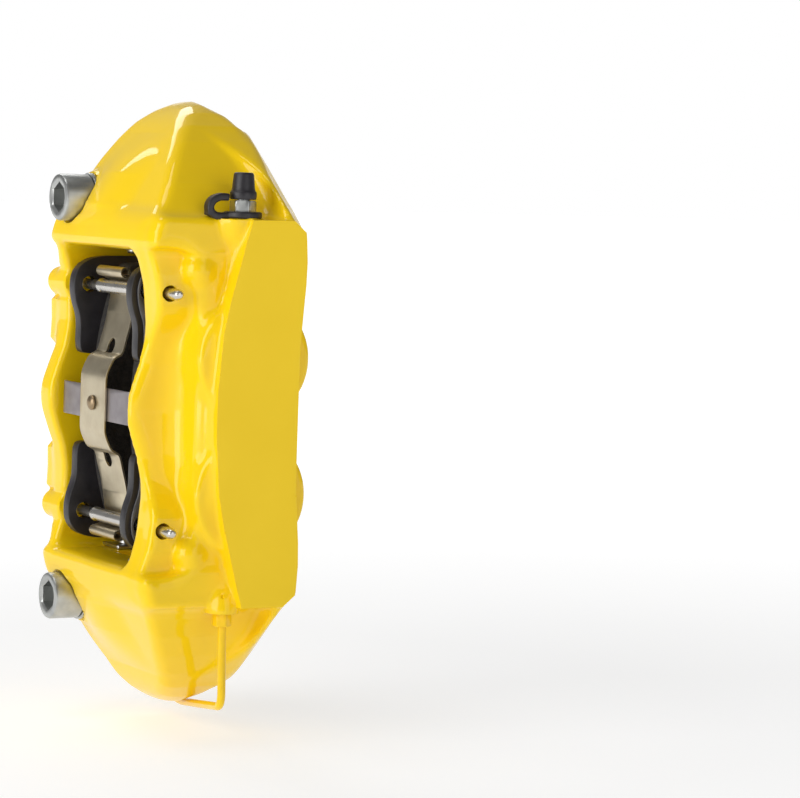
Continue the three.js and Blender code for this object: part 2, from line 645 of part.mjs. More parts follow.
// ---------------------------------------------------------------- abutments
// Stainless plates that the pads' ends slide on, each held by one screw into the window's end wall.
function abutments() {
  const plateFrom = 67.3;
  const plateTo = 68.7;
  SIDES.forEach((side) => ENDS.forEach((end) => {
    const near = side.sign > 0 ? 21 : -39;
    const far = near + 18;
    const { topX, screwX } = ABUTMENT[side.name];
    const outline = [[topX, near], [-122, near], [-122, far], [topX, far]];
    const screwY = side.sign * 30;
    const hole = circle(screwX, screwY, 2.3, 12);
    const low = end.sign > 0 ? plateFrom : -plateTo;
    const plate = weld(prism('z', outline, low, low + plateTo - plateFrom, [hole]));
    add(`abutment_plate_${side.name}_${end.name}`, plate, 'steel');
    const screw = [[0, 65.3], [2.6, 65.3], [3.2, 65.9], [3.2, 67], [1.9, 67], [1.9, 76], [0, 76]];
    const placed = screw.map(([radius, z]) => [radius, end.sign * z]);
    const place = [screwX, screwY, 0];
    add(`abutment_screw_${side.name}_${end.name}`, turned('z', placed, place, 12), 'steel');
  }));
}

// ---------------------------------------------------------------- the assembly
add('caliper_body', casting(), 'paint');
pads();
pistons();
pins();
springs();
bleedScrews();
pipe();
mountingBolts();
abutments();

export default group;
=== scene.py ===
import math

import bmesh
import bpy
import numpy as np
from mathutils import Matrix, Vector
from mathutils.geometry import delaunay_2d_cdt


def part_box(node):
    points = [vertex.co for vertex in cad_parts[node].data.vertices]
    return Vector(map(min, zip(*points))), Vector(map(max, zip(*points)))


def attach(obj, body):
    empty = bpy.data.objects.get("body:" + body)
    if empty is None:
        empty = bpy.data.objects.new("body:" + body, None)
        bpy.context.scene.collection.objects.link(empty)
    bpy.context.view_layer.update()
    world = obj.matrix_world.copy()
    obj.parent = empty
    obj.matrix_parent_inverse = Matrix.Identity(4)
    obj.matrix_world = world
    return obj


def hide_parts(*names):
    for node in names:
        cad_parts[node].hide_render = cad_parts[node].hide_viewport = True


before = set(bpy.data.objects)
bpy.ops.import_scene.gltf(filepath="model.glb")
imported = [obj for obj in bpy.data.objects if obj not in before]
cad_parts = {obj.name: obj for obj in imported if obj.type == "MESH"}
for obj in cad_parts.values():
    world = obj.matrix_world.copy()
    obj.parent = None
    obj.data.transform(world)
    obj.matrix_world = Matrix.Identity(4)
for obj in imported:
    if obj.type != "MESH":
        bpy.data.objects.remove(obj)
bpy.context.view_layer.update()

# Work is in millimetres in the disc's frame: the disc's centre is the origin, the disc turns about
# Y, -Y is outboard, +X points to the hub and +Z runs along the caliper. `row` turns it into metres
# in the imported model's frame, whose origin lies between the two bolts on the mounting plane.
bolt_low, bolt_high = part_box("mounting_bolt_upper")
BOLT_Y = 30.0
BOLT_Z = round(500 * (bolt_low.z + bolt_high.z), 2)
MOUNT_X = -122.0
SHIFT = np.array([-MOUNT_X, round(500 * (bolt_low.y + bolt_high.y), 2) - BOLT_Y, 0.0])
SIDES = {"outboard": -1, "inboard": 1}
ENDS = {"upper": 1, "lower": -1}


def row(points):
    return (np.asarray(points, float) + SHIFT) / 1000


# ---- camera
CAMERA_PLACE = np.array([-781.9, -1318.3, 113.0])
CAMERA_RIGHT = Vector((0.8680, -0.4953, 0.0348))
CAMERA_BACK = Vector((-0.4965, -0.8649, 0.0738)).normalized()
FOCAL_OVER_WIDTH = 4.0795
SENSOR_WIDTH = 36


def add_camera():
    data = bpy.data.cameras.new("camera")
    data.sensor_width = SENSOR_WIDTH
    data.lens = SENSOR_WIDTH * FOCAL_OVER_WIDTH
    data.clip_start, data.clip_end = 0.05, 20
    camera = bpy.data.objects.new("camera", data)
    bpy.context.scene.collection.objects.link(camera)
    right = (CAMERA_RIGHT - CAMERA_RIGHT.dot(CAMERA_BACK) * CAMERA_BACK).normalized()
    turn = Matrix((right, CAMERA_BACK.cross(right), CAMERA_BACK)).transposed().to_4x4()
    camera.matrix_world = Matrix.Translation(row(CAMERA_PLACE)) @ turn
    bpy.context.scene.camera = camera


add_camera()


# ---- materials
def add_node(tree, kind, links=None, **values):
    """Shader node with some inputs linked, and others set by name with _ for a space."""
    node = tree.nodes.new("ShaderNode" + kind)
    for name, value in values.items():
        node.inputs[name.replace("_", " ")].default_value = value
    for name, source in (links or {}).items():
        tree.links.new(source, node.inputs[name])
    return node


class Nodes:
    """Short way to build a node material on the object's own coordinates."""

    def __init__(self, name):
        self.material = bpy.data.materials.new(name)
        self.material.use_nodes = True
        self.tree = self.material.node_tree
        self.shader = self.tree.nodes["Principled BSDF"]
        self.place = add_node(self.tree, "TexCoord").outputs["Object"]

    def value(self, socket, value):
        """Sets a plain value on the shader."""
        self.shader.inputs[socket].default_value = value

    def link(self, source, socket):
        """Drives a socket of the shader."""
        self.tree.links.new(source, self.shader.inputs[socket])

    def noise(self, scale, detail=3.0, roughness=0.5, stretch=None):
        place = self.place
        if stretch:
            mapping = add_node(self.tree, "Mapping", {"Vector": place}, Scale=stretch)
            place = mapping.outputs["Vector"]
        return add_node(self.tree, "TexNoise", {"Vector": place}, Scale=scale, Detail=detail,
                        Roughness=roughness).outputs["Fac"]

    def cells(self, scale):
        node = add_node(self.tree, "TexVoronoi", {"Vector": self.place}, Scale=scale)
        return node.outputs["Distance"]

    def ramp(self, source, *stops):
        """Colour that runs between two (position, colour) stops."""
        node = add_node(self.tree, "ValToRGB", {"Fac": source})
        for element, (at, colour) in zip(node.color_ramp.elements, stops):
            element.position = at
            element.color = (*colour, 1)
        return node.outputs["Color"]

    def spread(self, source, low, high):
        """Maps 0 to 1 onto low to high."""
        node = add_node(self.tree, "MapRange", {"Value": source}, To_Min=low, To_Max=high)
        return node.outputs["Result"]

    def bump(self, strength, *heights):
        """Stacks bumps, each a (height, distance in metres) pair."""
        links = {}
        for height, distance in heights:
            node = add_node(self.tree, "Bump", {"Height": height, **links},
                            Strength=strength, Distance=distance)
            links = {"Normal": node.outputs["Normal"]}
        self.link(links["Normal"], "Normal")


def paint(name, colour, shade, roughness, coat, grain=0.00003):
    """Thick paint: slightly uneven in colour and gloss, with a clear coat of the given weight."""
    n = Nodes(name)
    n.link(n.ramp(n.noise(28, 4), (0.3, shade), (0.7, colour)), "Base Color")
    n.link(n.spread(n.noise(160, 5), roughness - 0.05, roughness + 0.07), "Roughness")
    n.value("Coat Weight", coat)
    n.value("Coat Roughness", 0.05)
    n.value("Specular IOR Level", 0.03)
    n.bump(0.3, (n.noise(420, 2), grain), (n.noise(90, 2), grain * 2.5))
    return n.material


def metal(name, colour, shade, roughness, scale, stretch=None, grain=0.00004, metallic=1.0):
    """Bare or plated metal; `stretch` draws its grain out along one axis."""
    n = Nodes(name)
    n.link(n.ramp(n.noise(scale, 6), (0.3, shade), (0.72, colour)), "Base Color")
    n.value("Metallic", metallic)
    n.link(n.spread(n.noise(scale * 2.3, 4), roughness - 0.08, roughness + 0.12), "Roughness")
    n.bump(0.3, (n.noise(scale * 6, 3, stretch=stretch), grain))
    return n.material


def dull(name, colour, shade, roughness, scale, grain):
    """Rubber, friction compound or matt coating, with a pitted surface."""
    n = Nodes(name)
    n.link(n.ramp(n.noise(scale, 6, 0.65), (0.35, shade), (0.68, colour)), "Base Color")
    n.link(n.spread(n.noise(scale * 1.7, 3), roughness - 0.08, roughness + 0.1), "Roughness")
    n.bump(0.6, (n.noise(scale * 2.4, 4), grain), (n.cells(scale * 3.1), grain * 0.6))
    return n.material


YELLOW = (0.98, 0.655, 0.005)
MATERIALS = {
    "gloss": paint("gloss_yellow_paint", YELLOW, (0.95, 0.635, 0.006), 0.4, 0.7),
    # The satin paint is the same paint as the gloss. Its rougher, uncoated finish is real, but its
    # lighter, paler colour is painted sheen for the broad light the flat face catches.
    "satin": paint("satin_yellow_paint_painted_sheen", (1.0, 0.69, 0.04), (0.97, 0.665, 0.036), 0.5, 0.0),
    "pipe": paint("yellow_painted_pipe", YELLOW, (0.9, 0.56, 0.005), 0.32, 0.7),
    "spring": metal("spring_steel", (0.66, 0.585, 0.42), (0.55, 0.47, 0.33), 0.34, 120, (1, 14, 1)),
    "wing": metal(
        "satin_wing_steel", (0.36, 0.33, 0.34), (0.27, 0.245, 0.255), 0.38, 140, (1, 1, 12)),
    "pin": metal(
        "ground_pin_steel", (0.66, 0.64, 0.6), (0.55, 0.53, 0.5), 0.26, 70, (1, 0.1, 1), 0.000001),
    "rivet": metal(
        "browned_rivet_steel", (0.4, 0.3, 0.19), (0.3, 0.22, 0.13), 0.36, 160, grain=0.00003),
    "zinc": metal(
        "zinc_plated_steel", (0.55, 0.56, 0.54), (0.4, 0.41, 0.4), 0.36, 160, grain=0.00006),
    "stainless": metal(
        "rolled_stainless", (0.6, 0.6, 0.59), (0.5, 0.5, 0.49), 0.28, 110, (1, 10, 1)),
    "anodised": metal(
        "anodised_aluminium", (0.6, 0.61, 0.62), (0.5, 0.51, 0.52), 0.32, 150, (1, 1, 1)),
    "backing": dull(
        "painted_backing_plate", (0.022, 0.02, 0.024), (0.012, 0.011, 0.013), 0.4, 150, 0.00006),
    "friction": dull(
        "friction_compound", (0.05, 0.045, 0.04), (0.018, 0.016, 0.015), 0.9, 420, 0.00022),
    "shim": metal(
        "coated_shim", (0.16, 0.16, 0.17), (0.1, 0.1, 0.105), 0.4, 130, None, 0.00003, 0.7),
    "rubber": dull(
        "black_rubber", (0.022, 0.019, 0.023), (0.013, 0.011, 0.014), 0.42, 260, 0.00004),
    "seal": dull("seal_rubber", (0.018, 0.018, 0.018), (0.01, 0.01, 0.01), 0.6, 300, 0.00003),
}


# ---- pieces
def piece(name, shape, material, body, node, sharp=32.0):
    """Object made from (points, faces) that rides on a body and replaces a CAD node."""
    points, faces = shape
    mesh = bpy.data.meshes.new(name)
    mesh.from_pydata(row(points).tolist(), [], [list(map(int, f)) for f in faces])
    mesh.update()
    smooth(mesh, sharp)
    mesh.materials.append(MATERIALS[material])
    obj = bpy.data.objects.new(name, mesh)
    bpy.context.scene.collection.objects.link(obj)
    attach(obj, body)
    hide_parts(node)
    return obj


def smooth(mesh, sharp):
    """Smooth shading, with edges over `sharp` degrees left sharp."""
    mesh.shade_smooth()
    mesh.set_sharp_from_angle(angle=math.radians(sharp))


def apply_modifier(obj, kind, **settings):
    """Adds a modifier and keeps its result as the object's mesh."""
    modifier = obj.modifiers.new(kind.lower(), kind)
    for key, value in settings.items():
        setattr(modifier, key, value)
    graph = bpy.context.evaluated_depsgraph_get()
    mesh = bpy.data.meshes.new_from_object(
        obj.evaluated_get(graph), preserve_all_data_layers=True, depsgraph=graph)
    obj.modifiers.remove(modifier)
    old = obj.data
    obj.data = mesh
    bpy.data.meshes.remove(old)
    mesh.name = obj.name


def bevelled(obj, width, segments, angle=35.0):
    """Rounds the edges over `angle` degrees; the width is in millimetres."""
    apply_modifier(obj, "BEVEL", width=width / 1000, segments=segments, limit_method="ANGLE",
                   angle_limit=math.radians(angle), harden_normals=False, use_clamp_overlap=True)
    smooth(obj.data, 50)


AXIS_FRAMES = {
    "x": ((0, 1, 0), (0, 0, 1), (1, 0, 0)),
    "y": ((0, 0, 1), (1, 0, 0), (0, 1, 0)),
    "z": ((1, 0, 0), (0, 1, 0), (0, 0, 1)),
}


def hexagon_at(angle, across_flats):
    """Distance from a hexagon's middle to its side in the direction of an angle."""
    turn = (angle + math.pi / 6) % (math.pi / 3) - math.pi / 6
    return across_flats / 2 / math.cos(turn)


def lathe(profile, axis, place, sides):
    """Points and faces of a turned piece. A profile point is (radius, along) or, where the section
    is a hexagon cut by a circle, (radius, along, across flats). Radius 0 closes an end."""
    u, v, w = (np.array(a, float) for a in AXIS_FRAMES[axis])
    points, rings = [], []
    for step in profile:
        radius, along = step[0], step[1]
        if radius == 0:
            rings.append([len(points)])
            points.append(np.array(place) + w * along)
            continue
        ring = []
        for i in range(sides):
            angle = 2 * math.pi * i / sides
            r = min(radius, hexagon_at(angle, step[2])) if len(step) > 2 else radius
            ring.append(len(points))
            out = u * math.cos(angle) + v * math.sin(angle)
            points.append(np.array(place) + w * along + r * out)
        rings.append(ring)
    faces = []
    pairs = list(zip(rings, rings[1:]))
    if len(rings[0]) > 1:
        pairs.append((rings[-1], rings[0]))
    for a, b in pairs:
        for i in range(sides):
            j = (i + 1) % sides
            if len(a) == 1 and len(b) == 1:
                continue
            if len(a) == 1:
                faces.append((a[0], b[j], b[i]))
            elif len(b) == 1:
                faces.append((a[i], a[j], b[0]))
            else:
                faces.append((a[i], a[j], b[j], b[i]))
    return points, outward(points, faces)


def outward(points, faces):
    """The faces, turned round if they enclose a negative volume."""
    p = np.array(points)
    volume = 0.0
    for f in faces:
        for i in range(1, len(f) - 1):
            volume += np.dot(p[f[0]], np.cross(p[f[i]], p[f[i + 1]]))
    return faces if volume > 0 else [tuple(reversed(f)) for f in faces]


def soft_corners(profile, reach):
    """The profile with each corner off the axis rounded over `reach`."""
    steps = 2
    out = [profile[0]]
    for a, b, c in zip(profile, profile[1:], profile[2:]):
        if b[0] == 0 or len(b) > 2:
            out.append(b)
            continue
        pa, pb, pc = (np.array(q[:2], float) for q in (a, b, c))
        la, lc = np.linalg.norm(pa - pb), np.linalg.norm(pc - pb)
        if min(la, lc) < 1e-6:
            out.append(b)
            continue
        ra, rc = min(reach, la * 0.45), min(reach, lc * 0.45)
        start, end = pb + (pa - pb) / la * ra, pb + (pc - pb) / lc * rc
        for i in range(steps + 1):
            t = i / steps
            q = start * (1 - t) ** 2 + 2 * pb * t * (1 - t) + end * t**2
            out.append((q[0], q[1]))
    out.append(profile[-1])
    return out


def smooth_line(points, step):
    """Curve through open control points, about `step` between its points."""
    p = np.array(points, float)
    p = np.vstack([2 * p[0] - p[1], p, 2 * p[-1] - p[-2]])
    out = []
    for a, b, c, d in zip(p, p[1:], p[2:], p[3:]):
        count = max(2, int(np.linalg.norm(c - b) / step))
        t = np.arange(count)[:, None] / count
        square, cube = 2 * a - 5 * b + 4 * c - d, 3 * b - a - 3 * c + d
        out.append(0.5 * (2 * b + (c - a) * t + square * t**2 + cube * t**3))
    return np.vstack(out + [p[-2:-1]])


def inside(point, polygon):
    """Whether a flat point lies in a closed polygon."""
    u, v = point
    hit = False
    for (au, av), (bu, bv) in zip(polygon, np.roll(polygon, -1, 0)):
        if (av > v) != (bv > v) and u < (bu - au) * (v - av) / (bv - av) + au:
            hit = not hit
    return hit


def flat_mesh(outline, holes):
    """Triangles of a flat outline with holes."""
    loops = [np.array(loop, float) for loop in (outline, *holes)]
    points, edges = [], []
    for loop in loops:
        first = len(points)
        points += [tuple(p) for p in loop]
        edges += [(first + i, first + (i + 1) % len(loop)) for i in range(len(loop))]
    made = delaunay_2d_cdt([Vector(p) for p in points], edges, [], 0, 1e-5)
    verts = np.array([tuple(v) for v in made[0]])
    faces = []
    for face in made[2]:
        middle = verts[list(face)].mean(0)
        if inside(middle, loops[0]) and not any(inside(middle, h) for h in loops[1:]):
            faces.append(tuple(face))
    return verts, faces


def circle(u, v, radius, sides):
    angles = 2 * np.pi * np.arange(sides) / sides
    return np.stack([u + radius * np.cos(angles), v + radius * np.sin(angles)], 1)


def thick(verts, faces, near, far):
    """Closed solid between the two places that the functions near and far give a flat point."""
    count = len(verts)
    points = [near(*v) for v in verts] + [far(*v) for v in verts]
    used = dict.fromkeys((a, b) for f in faces for a, b in zip(f, (*f[1:], f[0])))
    walls = [(a, b, b + count, a + count) for a, b in used if (b, a) not in used]
    back = [tuple(reversed(f)) for f in faces]
    front = [tuple(i + count for i in f) for f in faces]
    return points, outward(points, back + front + walls)


def plate(outline, holes, axis, *levels):
    """Flat plate between two levels along the y or z axis."""
    def at(level):
        return (lambda a, b: (a, level, b)) if axis == "y" else (lambda a, b: (a, b, level))

    low, high = sorted(levels)
    return thick(*flat_mesh(outline, holes), at(low), at(high))


def tube(path, radius, sides):
    """Round tube along a smooth path, its section carried along without twist."""
    p = np.array(path, float)
    tangent = np.gradient(p, axis=0)
    tangent /= np.linalg.norm(tangent, axis=1)[:, None]
    side = np.cross(tangent[0], (0, 0, 1.0) if abs(tangent[0][2]) < 0.9 else (1.0, 0, 0))
    points = []
    for at, along in zip(p, tangent):
        side = side - np.dot(side, along) * along
        side /= np.linalg.norm(side)
        other = np.cross(along, side)
        for i in range(sides):
            angle = 2 * math.pi * i / sides
            points.append(at + radius * (side * math.cos(angle) + other * math.sin(angle)))
    faces = []
    for k in range(len(p) - 1):
        for i in range(sides):
            j = (i + 1) % sides
            faces.append((k * sides + i, k * sides + j, (k + 1) * sides + j, (k + 1) * sides + i))
    faces.append(tuple(range(sides))[::-1])
    faces.append(tuple((len(p) - 1) * sides + i for i in range(sides)))
    return points, outward(points, faces)


def mirrored(half):
    """Closed outline from its half with second coordinate 0 or more."""
    half = [tuple(p) for p in half]
    return half + [(a, -b) for a, b in reversed(half) if b > 1e-6]


# ---- distance fields
# A field is below 0 inside its shape and grows by about 1 a millimetre away from it.
def smin(a, b, k):
    """Two shapes joined, with a fillet over k."""
    h = np.clip(0.5 + 0.5 * (b - a) / k, 0, 1)
    return b + (a - b) * h - k * h * (1 - h)


def smax(a, b, k):
    """What two shapes share, its edge rounded over k."""
    return -smin(-a, -b, k)


class Outline:
    """Signed distance to a closed flat outline, looked up in a table made once."""

    LOW, HIGH = np.array([-215.0, -165.0]), np.array([90.0, 165.0])
    PITCH = 0.5

    def __init__(self, points):
        p = np.array(points, float)
        size = np.ceil((self.HIGH - self.LOW) / self.PITCH).astype(int) + 1
        u = self.LOW[0] + self.PITCH * np.arange(size[0])[:, None]
        v = self.LOW[1] + self.PITCH * np.arange(size[1])[None, :]
        best = np.full(size, 1e9)
        within = np.zeros(size, bool)
        for a, b in zip(p, np.roll(p, -1, 0)):
            d = b - a
            t = np.clip(((u - a[0]) * d[0] + (v - a[1]) * d[1]) / max(d @ d, 1e-12), 0, 1)
            best = np.minimum(best, (u - a[0] - t * d[0]) ** 2 + (v - a[1] - t * d[1]) ** 2)
            if a[1] != b[1]:
                within ^= ((a[1] > v) != (b[1] > v)) & (u < d[0] * (v - a[1]) / d[1] + a[0])
        self.table = np.where(within, -1, 1) * np.sqrt(best)

    def __call__(self, u, v):
        t = self.table
        fu = np.clip((u - self.LOW[0]) / self.PITCH, 0, t.shape[0] - 1.001)
        fv = np.clip((v - self.LOW[1]) / self.PITCH, 0, t.shape[1] - 1.001)
        i, j = fu.astype(int), fv.astype(int)
        fu, fv = fu - i, fv - j
        return ((t[i, j] * (1 - fu) + t[i + 1, j] * fu) * (1 - fv)
                + (t[i, j + 1] * (1 - fu) + t[i + 1, j + 1] * fu) * fv)


def rod(u, v, cu, cv, r):
    return np.sqrt((u - cu) ** 2 + (v - cv) ** 2) - r


def slab(w, low, high):
    return np.abs(w - (low + high) / 2) - (high - low) / 2


def ball(x, y, z, c, r):
    return np.sqrt((x - c[0]) ** 2 + (y - c[1]) ** 2 + (z - c[2]) ** 2) - r


# ---- contouring
def crossings(grid, low, pitch):
    """Grid edges that the surface crosses: first corner, direction, axis and place."""
    shape = grid.shape
    below = grid < 0
    starts, flips, axis_of, points = [], [], [], []
    for k in range(3):
        near, far = [slice(None)] * 3, [slice(None)] * 3
        near[k], far[k] = slice(0, -1), slice(1, None)
        a, b = below[tuple(near)], below[tuple(far)]
        at = np.argwhere(a != b)
        inner = [(at[:, j] > 0) & (at[:, j] < shape[j] - 1) for j in range(3) if j != k]
        at = at[np.all(inner, 0)]
        step = np.zeros(3, int)
        step[k] = 1
        va, vb = grid[tuple(at.T)], grid[tuple((at + step).T)]
        place = at + (va / (va - vb))[:, None] * step
        points.append(np.array(low) + place * pitch)
        starts.append(at)
        flips.append(a[tuple(at.T)])
        axis_of.append(np.full(len(at), k))
    return [np.concatenate(v) for v in (starts, flips, axis_of, points)]


def gradient(field, p, eps):
    """Unit gradient of a field at points, from central differences."""
    g = np.empty_like(p)
    for k in range(3):
        ahead, behind = p.copy(), p.copy()
        ahead[:, k] += eps
        behind[:, k] -= eps
        g[:, k] = field(*ahead.T) - field(*behind.T)
    return g / np.maximum(np.linalg.norm(g, axis=1, keepdims=True), 1e-9)


def contour(field, low, high, pitch):
    """Dual contouring: a vertex in each cell where the surface's tangent planes meet best, and a
    quad round each crossed grid edge."""
    axes = [np.arange(a, b + pitch, pitch) for a, b in zip(low, high)]
    spread = axes[0][:, None, None], axes[1][None, :, None], axes[2][None, None, :]
    grid = np.broadcast_to(field(*spread), [len(a) for a in axes]).astype(np.float32)
    start, flip, axis_of, point = crossings(grid, low, pitch)
    value = field(*point.T)
    normal = gradient(field, point, 0.02 * pitch + 0.01)

    cells = np.zeros((len(start), 4), np.int64)
    strides = np.array([grid.shape[1] * grid.shape[2], grid.shape[2], 1])
    for k in range(3):
        at = axis_of == k
        i, j = [(1, 2), (2, 0), (0, 1)][k]
        ring = [0, strides[i], strides[i] + strides[j], strides[j]]
        cells[at] = np.stack([start[at] @ strides - o for o in ring], 1)
    ids, index = np.unique(cells.ravel(), return_inverse=True)
    index = index.reshape(-1, 4)
    count = np.bincount(index.ravel(), minlength=len(ids))

    def gather(values):
        return sum(np.bincount(index[:, c], weights=values, minlength=len(ids)) for c in range(4))

    middle = np.stack([gather(point[:, k]) for k in range(3)], 1) / count[:, None]
    corner = np.stack(np.unravel_index(ids, grid.shape), 1) * pitch + np.array(low)
    dot = (normal * point).sum(1) - value
    ata, atb = np.zeros((len(ids), 3, 3)), np.zeros((len(ids), 3))
    for a in range(3):
        for b in range(a, 3):
            ata[:, a, b] = ata[:, b, a] = gather(normal[:, a] * normal[:, b])
        atb[:, a] = gather(normal[:, a] * dot)
    weight = 0.04 * count
    ata += weight[:, None, None] * np.eye(3)
    atb += weight[:, None] * middle
    vertex = np.linalg.solve(ata, atb[:, :, None])[:, :, 0]
    vertex = np.clip(vertex, corner - 0.1 * pitch, corner + 1.1 * pitch)
    return vertex, np.where(flip[:, None], index, index[:, ::-1])


# ---- casting
SHELF_Z = 84.0
FACE_Y = 71.0
RIM_CLEAR = 176.0
SLOT_HALF = 18.5
WINDOW_HALF_Z, WINDOW_HALF_Y, WINDOW_CORNER = 69.0, 39.5, 5.5
BORE_X = -135.5
BORE_Z = (23.5, -36.0)
BORE_R = 22.3
BOSS_R = 26.6
PIN_X, PIN_Z = -172.5, 51.3
BLEED_X, BLEED_Y = -141.0, 60.0
PORT_X = {-1: -145.0, 1: -132.0}
PORT_END_Z = 87.0
INLET_X, INLET_Z = -156.0, -6.0
BOLT_BOSS_X, BOLT_SEAT_X = -171.9, -171.7
FILLET = 2.4
SCREW_PLACES = {"outboard": (-164, -30), "inboard": (-150, 30)}

# Radially outer edge seen along the disc's axis, as (x, z), from the middle to the tip.
OUTER = [
    (-185.2, 0), (-184.6, 6), (-181.8, 15), (-178.6, 24), (-176.4, 33), (-176.2, 42),
    (-177.2, 53), (-179.8, 62), (-182.0, 70), (-181.6, 78), (-177.6, 87.5), (-171.3, 98),
    (-164, 109), (-154.6, 121), (-147.2, 128.2), (-139.5, 133.2), (-131, 135.7), (-122, 136.2),
]
# The edge next to the hub, from the tip back to the window, for the three slices of an end.
HUB_EDGE_OUTBOARD = [
    (-131, 135.8), (-124, 130), (-116, 119), (-112.5, 108), (-111, 97), (-111, 82), (-116, 78)]
HUB_EDGE_BRIDGE = [
    (-133.5, 135.8), (-132, 135.0), (-125, 129), (-119, 120), (-114, 108), (-112, 82), (-116, 78)]
HUB_EDGE_INBOARD = [(-130, 135.6), (-123, 130), (-116, 119), (-112.5, 108), (-112, 82), (-116, 78)]


def both_ends(points):
    """Closed outline of both ends of the caliper from that of the upper one."""
    points = [tuple(p) for p in points]
    return points + [(a, -b) for a, b in reversed(points)]


outer_edge = smooth_line(OUTER, 1.5)
OUTBOARD = Outline(both_ends([*outer_edge, *HUB_EDGE_OUTBOARD]))
BRIDGE = Outline(both_ends([*outer_edge, *HUB_EDGE_BRIDGE]))
INBOARD = Outline(both_ends([*outer_edge, *HUB_EDGE_INBOARD]))
# The ends' limits across the disc, as (y, z): the outboard side leans back to the tip.
ENDS_ACROSS = Outline(both_ends([
    (-62, 0), (-60, 66), (-58.5, 74), (-56.5, 82), (-53, 89), (-46.5, 98.5), (-38, 108),
    (-29.2, 116.6), (-20.5, 123.8), (-10, 129.6), (0, 133.6), (10, 136.6), (18, 136.2), (26, 132),
    (32, 126.5), (36, 118), (38.5, 109), (40, 100), (42, 92), (44, 84), (47, 76), (56, 66), (58, 0),
]))
# Sections along the disc's axis, as (x, z).
SHOULDER = Outline(both_ends([
    (-160.5, 66.5), (-165, 70.6), (-170, 72.6), (-175.9, 73.6), (-181.4, 73.4), (-181.2, 78),
    (-179.0, 86), (-178, 92), (-118, 92), (-118, 84), (-115.5, 79), (-115, 60), (-150, 60),
]))
PILLOW = Outline(both_ends([
    (-154, 30), (-157.5, 40), (-161.2, 45.6), (-164.6, 53.4), (-166.2, 63.2), (-167, 76),
    (-118, 84), (-115.5, 79), (-115, 60), (-116.5, 30),
]))
FLANK_INBOARD = Outline(both_ends([
    (-164, 0), (-164, 60), (-167, 68), (-170, 74), (-171, 82), (-170, 92), (-111, 92), (-111, 84),
    (-114.8, 79), (-114.5, 60), (-116.5, 30), (-116.5, 0),
]))
FACE_PLATE = Outline(both_ends([
    (-155.8, 0), (-155.7, 9.8), (-153.8, 34.4), (-151, 48.2), (-148.1, 59.1), (-144.2, 73.9),
    (-141.3, SHELF_Z), (-121, SHELF_Z), (-115, 79), (-114.2, 66), (-114.5, 56), (-116.5, 30),
    (-116.5, 0),
]))
PIN_WALL = Outline([
    (-178, 22), (-176.6, 30), (-176.6, 38), (-177.3, 44), (-177.9, 50), (-178.6, 56), (-180, 62),
    (-181.6, 68), (-181, 76), (-158, 76), (-152, 56), (-156, 36), (-158, 20),
])
INBOARD_SHOULDER = Outline([
    (-176.6, 25), (-176.3, 34), (-176.6, 43), (-160, 50), (-150, 34), (-160, 16), (-173, 21)])
# How far the slope of an end lies from the origin, and how far its buttress stands out, by height.
LEAN_AT = [70, 84, 107, 114, 126, 136, 150], [70, 77.4, 91.2, 95.6, 103, 113.5, 130]
BUTTRESS_AT = [80, 84, 92, 104, 112, 120, 131], [24, 18, 13, 6.5, 2, -3, -12]


def casting(x, y, z):
    """Field of the whole casting; y < 0 is outboard."""
    az, ay, outboard = np.abs(z), np.abs(y), y < 0
    across = np.clip((y + 12) / 24, 0, 1)
    across = across**2 * (3 - 2 * across)
    body = outboard_half(x, y, az) * (1 - across) + inboard_half(x, y, az) * across

    for cz in BORE_Z:
        boss = smax(rod(x, z, BORE_X, cz, BOSS_R), ay - np.where(outboard, 66, 70), 2.6)
        body = smin(body, np.maximum(boss, 30 - ay), 3.5)
    end, buttress = casting_end(x, y, z, az, outboard)
    body = smin(smin(body, end, 7), buttress, 6)

    face_plate = np.maximum(FACE_PLATE(x, az), -y - FACE_Y)
    body = smin(body, np.where(outboard, np.maximum(face_plate, 56 + y), 99), FILLET)
    body = np.maximum(body, -y - FACE_Y)

    # bell-shaped bosses under the bleed screws and over the pipe's nuts
    for side in SIDES.values():
        cy = side * BLEED_Y
        body = smin(body, bell(x, y, z, BLEED_X - 3 * (side < 0), cy, SHELF_Z), FILLET)
        core = np.maximum(rod(x, y, BLEED_X, cy, 6.4), slab(z, 62, SHELF_Z))
        body = smin(body, core, 3)
        body = smin(body, bell(x, y, -z, PORT_X[side], cy, PORT_END_Z, 7.2), FILLET)
    inlet = smax(rod(x, z, INLET_X, INLET_Z, 9), np.maximum(y - FACE_Y, 50 - y), 1)
    return machined(smin(body, inlet, 3), x, y, z)


